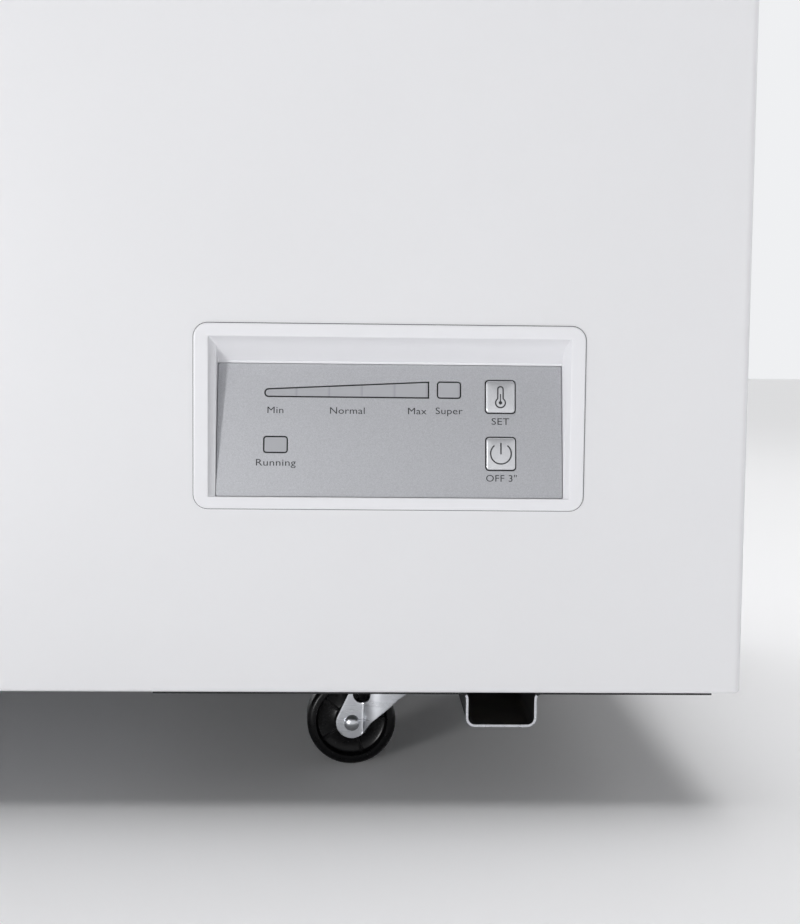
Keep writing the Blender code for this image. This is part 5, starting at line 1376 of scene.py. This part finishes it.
def compressorPiece(s):
    # two pressed cups that meet in a welded seam: an elliptic crown above, a slightly narrower cup below
    grips = gripCentres()
    cx, cy = np.mean([g[0] for g in grips]), np.mean([g[1] for g in grips])
    r, top, low = s["radius"] * mm, shellHigh.z, shellLow.z + 6 * mm
    mid = low + (top - low) * 0.48
    a = np.radians(np.linspace(90, 0, 12))
    crown = [(r * math.cos(t), mid + 14 * mm + (top - mid - 14 * mm) * math.sin(t)) for t in a]
    seamR = r + s["seam"] * mm
    seam = [(r, mid + 8 * mm), (seamR, mid + 6 * mm), (seamR, mid + 1 * mm), (r - 2 * mm, mid - 1 * mm)]
    b = np.radians(np.linspace(0, 90, 9))
    cup = [((r - 3 * mm) * math.cos(t) ** 0.8, low + 36 * mm - 36 * mm * math.sin(t)) for t in b]
    shell = spunPatch(np.array(crown + seam + cup), s["sides"], "z", (cx, cy, 0))
    xs, ys = [g[0] for g in grips], [g[1] for g in grips]
    margin = 14 * mm
    outline = ringPoints(min(xs) - margin, max(xs) + margin, min(ys) - margin, max(ys) + margin, 10 * mm, 6)
    holes = [arcPoints(g, 7.5 * mm, 0, 345, 23) for g in grips]
    foot = flatPatch([outline] + holes, shellLow.z, shellLow.z + 2.5 * mm, 0.3 * mm)
    neck = boxPatch((cx - 31 * mm, cy - 45 * mm, shellLow.z + 1 * mm),
                    (cx + 31 * mm, cy + 45 * mm, low + 8 * mm))
    makePiece("hermetic_compressor", [shell, foot, neck], shellEnamel, "cabinet", ["compressor"],
              angle=40)
    for i, (x, y) in enumerate(grips, 1):
        gLow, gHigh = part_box(f"compressor_grommet_{i}")
        wide, neckR, bore = (gHigh.x - gLow.x) / 2, 7 * mm, 3.3 * mm
        seat = shellLow.z - 0.6 * mm
        profile = [(bore, gLow.z), (wide - 0.8 * mm, gLow.z), (wide, gLow.z + 0.8 * mm),
                   (wide, gLow.z + 3.6 * mm), (wide - 1.0 * mm, gLow.z + 4.4 * mm), (wide, gLow.z + 5.2 * mm),
                   (wide, seat), (neckR, seat), (neckR, gHigh.z - 0.8 * mm), (neckR - 0.8 * mm, gHigh.z),
                   (bore, gHigh.z), (bore, gLow.z)]
        makePiece(f"rubber_grommet_{i}", [spunPatch(profile, 32, "z", (x, y, 0))], blackRubber, "cabinet",
                  [f"compressor_grommet_{i}"])


compressorPiece(compressorShell)


def spunTrim():
    # spun drier with elliptic-arc shoulders, mirrored about its middle, and the cord's stepped bush
    low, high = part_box("filter_drier")
    x, y, h = (low.x + high.x) / 2, (low.y + high.y) / 2, high.z - low.z
    r = (high.x - low.x) / 2
    half = [(0.0, h / 2), (3.5 * mm, h / 2), (3.9 * mm, h / 2 - 7 * mm)]
    half += [(3.9 * mm + (r - 3.9 * mm) * math.sin(a), h / 2 - 7 * mm - 10 * mm * (1 - math.cos(a)))
             for a in np.radians([20, 45, 70, 90])]
    profile = np.vstack([np.array(half), np.array(half)[::-1] * [1, -1]])
    makePiece("copper_drier", [spunPatch(profile, 32, "z", (x, y, (low.z + high.z) / 2))], copperTube,
              "cabinet", ["filter_drier"])
    low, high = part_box("cord_gland")
    x, z = (low.x + high.x) / 2, (low.z + high.z) / 2
    r, out = (high.x - low.x) / 2, high.y
    profile = [(3.5 * mm, out), (6 * mm, out), (r, out - 6.5 * mm), (r, out - 9.9 * mm),
               (7.5 * mm, out - 9.9 * mm), (7.5 * mm, low.y), (3.5 * mm, low.y), (3.5 * mm, out)]
    makePiece("inlet_bush", [spunPatch(profile, 36, "y", (x, 0, z))], blackPlastic, "cabinet", ["cord_gland"])


spunTrim()

carriedFinishes = {
    "back_panel": whitePaint, "foam_insulation": foamCore, "lid_foam": foamCore, "bottom_panel": zincSheet,
    "rear_cover": zincSheet, "hinge_base_left": zincBright, "hinge_base_right": zincBright,
    "hinge_leaf_left": zincBright, "hinge_leaf_right": zincBright, "control_board": boardGreen,
    "control_housing": trimWhite, "terminal_cover": blackPlastic, "evaporator_tube": aluTube,
    "condenser_tube": steelTube}
carriedFinishes.update({"caster_plate_" + corner: zincBright for corner in corners})
for nodeName, finish in carriedFinishes.items():
    for materialSlot in frame["nodes"][nodeName].material_slots:
        materialSlot.material = finish
print("carried nodes finished:", len(carriedFinishes), "pieces made:", pieceCount)


for startup in ("Cube", "Camera", "Light"):
    if startup in bpy.data.objects:
        bpy.data.objects.remove(bpy.data.objects[startup])

viewpoint = {"fromCorner": (-193.4, -644.9, 162.2), "yaw": 1.682, "pitch": 4.028, "roll": -0.596,
             "lens": 50.65}


def placeCamera(s):
    # looks along (sin yaw cos pitch, cos yaw cos pitch, -sin pitch), then rolls about that line
    yaw, pitch, roll = (math.radians(s[k]) for k in ("yaw", "pitch", "roll"))
    ahead = Vector((math.sin(yaw) * math.cos(pitch), math.cos(yaw) * math.cos(pitch), -math.sin(pitch)))
    right = Vector((math.cos(yaw), -math.sin(yaw), 0))
    down = ahead.cross(right)
    across = math.cos(roll) * right + math.sin(roll) * down
    below = -math.sin(roll) * right + math.cos(roll) * down
    corner = Vector((wrapHigh.x, frontY, wrapLow.z))
    camera = bpy.data.objects.new("camera", bpy.data.cameras.new("camera"))
    camera.matrix_world = Matrix.Translation(corner + Vector(s["fromCorner"]) * mm) @ \
        Matrix((across, -below, -ahead)).transposed().to_4x4()
    camera.data.lens = s["lens"]
    camera.data.clip_start = 0.01
    bpy.context.scene.collection.objects.link(camera)
    bpy.context.scene.camera = camera


placeCamera(viewpoint)


def areaLight(name, place, target, size, power, colour="#FFFFFF"):
    # round lamp at a place, turned to face its target
    light = bpy.data.lights.new(name, "AREA")
    light.shape = "DISK"
    light.size = size
    light.energy = power
    light.color = linearColour(colour)[:3]
    lamp = bpy.data.objects.new(name, light)
    lamp.location = place
    lamp.rotation_euler = (Vector(target) - Vector(place)).to_track_quat("-Z", "Y").to_euler()
    bpy.context.scene.collection.objects.link(lamp)


panelMiddle = (bezelLow + bezelHigh) / 2
studio = {"keyTurn": 33.0, "keyLift": 4.0, "keyReach": 4.2, "keySize": 0.68, "keyPower": 67.0,
          "fillPower": 10.0, "topStrength": 1.75, "topSpread": 48.0, "topLean": 8.0,
          "wall": 0.93, "ceiling": 0.12}


def lights(s):
    # key lamp along (-sin t cos l, -cos t cos l, sin l) from the panel, two fills, a wide sun and a pale room
    turn, lift = math.radians(s["keyTurn"]), math.radians(s["keyLift"])
    aim = Vector((-math.sin(turn) * math.cos(lift), -math.cos(turn) * math.cos(lift), math.sin(lift)))
    areaLight("key light", panelMiddle + aim * s["keyReach"], panelMiddle, s["keySize"], s["keyPower"])
    areaLight("right fill", (2.6, 0.4, 1.4), (0.2, 0, 0.4), 2.0, s["fillPower"])
    soft = bpy.data.lights.new("top light", "SUN")
    soft.angle = math.radians(s["topSpread"])
    soft.energy = s["topStrength"]
    overhead = bpy.data.objects.new("top light", soft)
    overhead.rotation_euler = (math.radians(-s["topLean"]), 0, 0)
    bpy.context.scene.collection.objects.link(overhead)
    areaLight("rear fill", (-1.6, 2.8, 1.8), (0, 0, 0.4), 2.2, s["fillPower"] * 2)
    world = bpy.data.worlds.new("studio")
    world.use_nodes = True
    tree = world.node_tree
    background = tree.nodes["Background"]
    background.inputs["Color"].default_value = linearColour("#F7F8FA")
    direction = addNode(tree, "ShaderNodeTexCoord").outputs["Generated"]
    height = addNode(tree, "ShaderNodeSeparateXYZ", None, {"Vector": direction}).outputs["Z"]
    fade = addNode(tree, "ShaderNodeMapRange", {"From Min": 0.27, "From Max": 0.42, "To Min": s["wall"],
                   "To Max": s["ceiling"]}, {"Value": height})
    tree.links.new(fade.outputs["Result"], background.inputs["Strength"])
    bpy.context.scene.world = world
    bpy.context.scene.view_settings.view_transform = "Standard"


lights(studio)


def studioFloor():
    # flat pale sheet, far wider than the object
    reach = 60
    points = np.array([[[-reach, -reach, 0.0], [reach, -reach, 0.0]],
                       [[-reach, reach, 0.0], [reach, reach, 0.0]]])
    verts, faces = gridPatch(points)
    mesh = bpy.data.meshes.new("studio_floor")
    mesh.from_pydata(verts.tolist(), [], faces)
    floor = bpy.data.objects.new("studio_floor", mesh)
    material, tree, shader, place = newFinish("pale studio paper", "#FBFBFC", 0.9)
    varyColour(tree, shader, noise(tree, place, 0.8), "#F9F9FA", "#FCFCFD")
    mesh.materials.append(material)
    bpy.context.scene.collection.objects.link(floor)


studioFloor()
print("camera, light and floor placed")
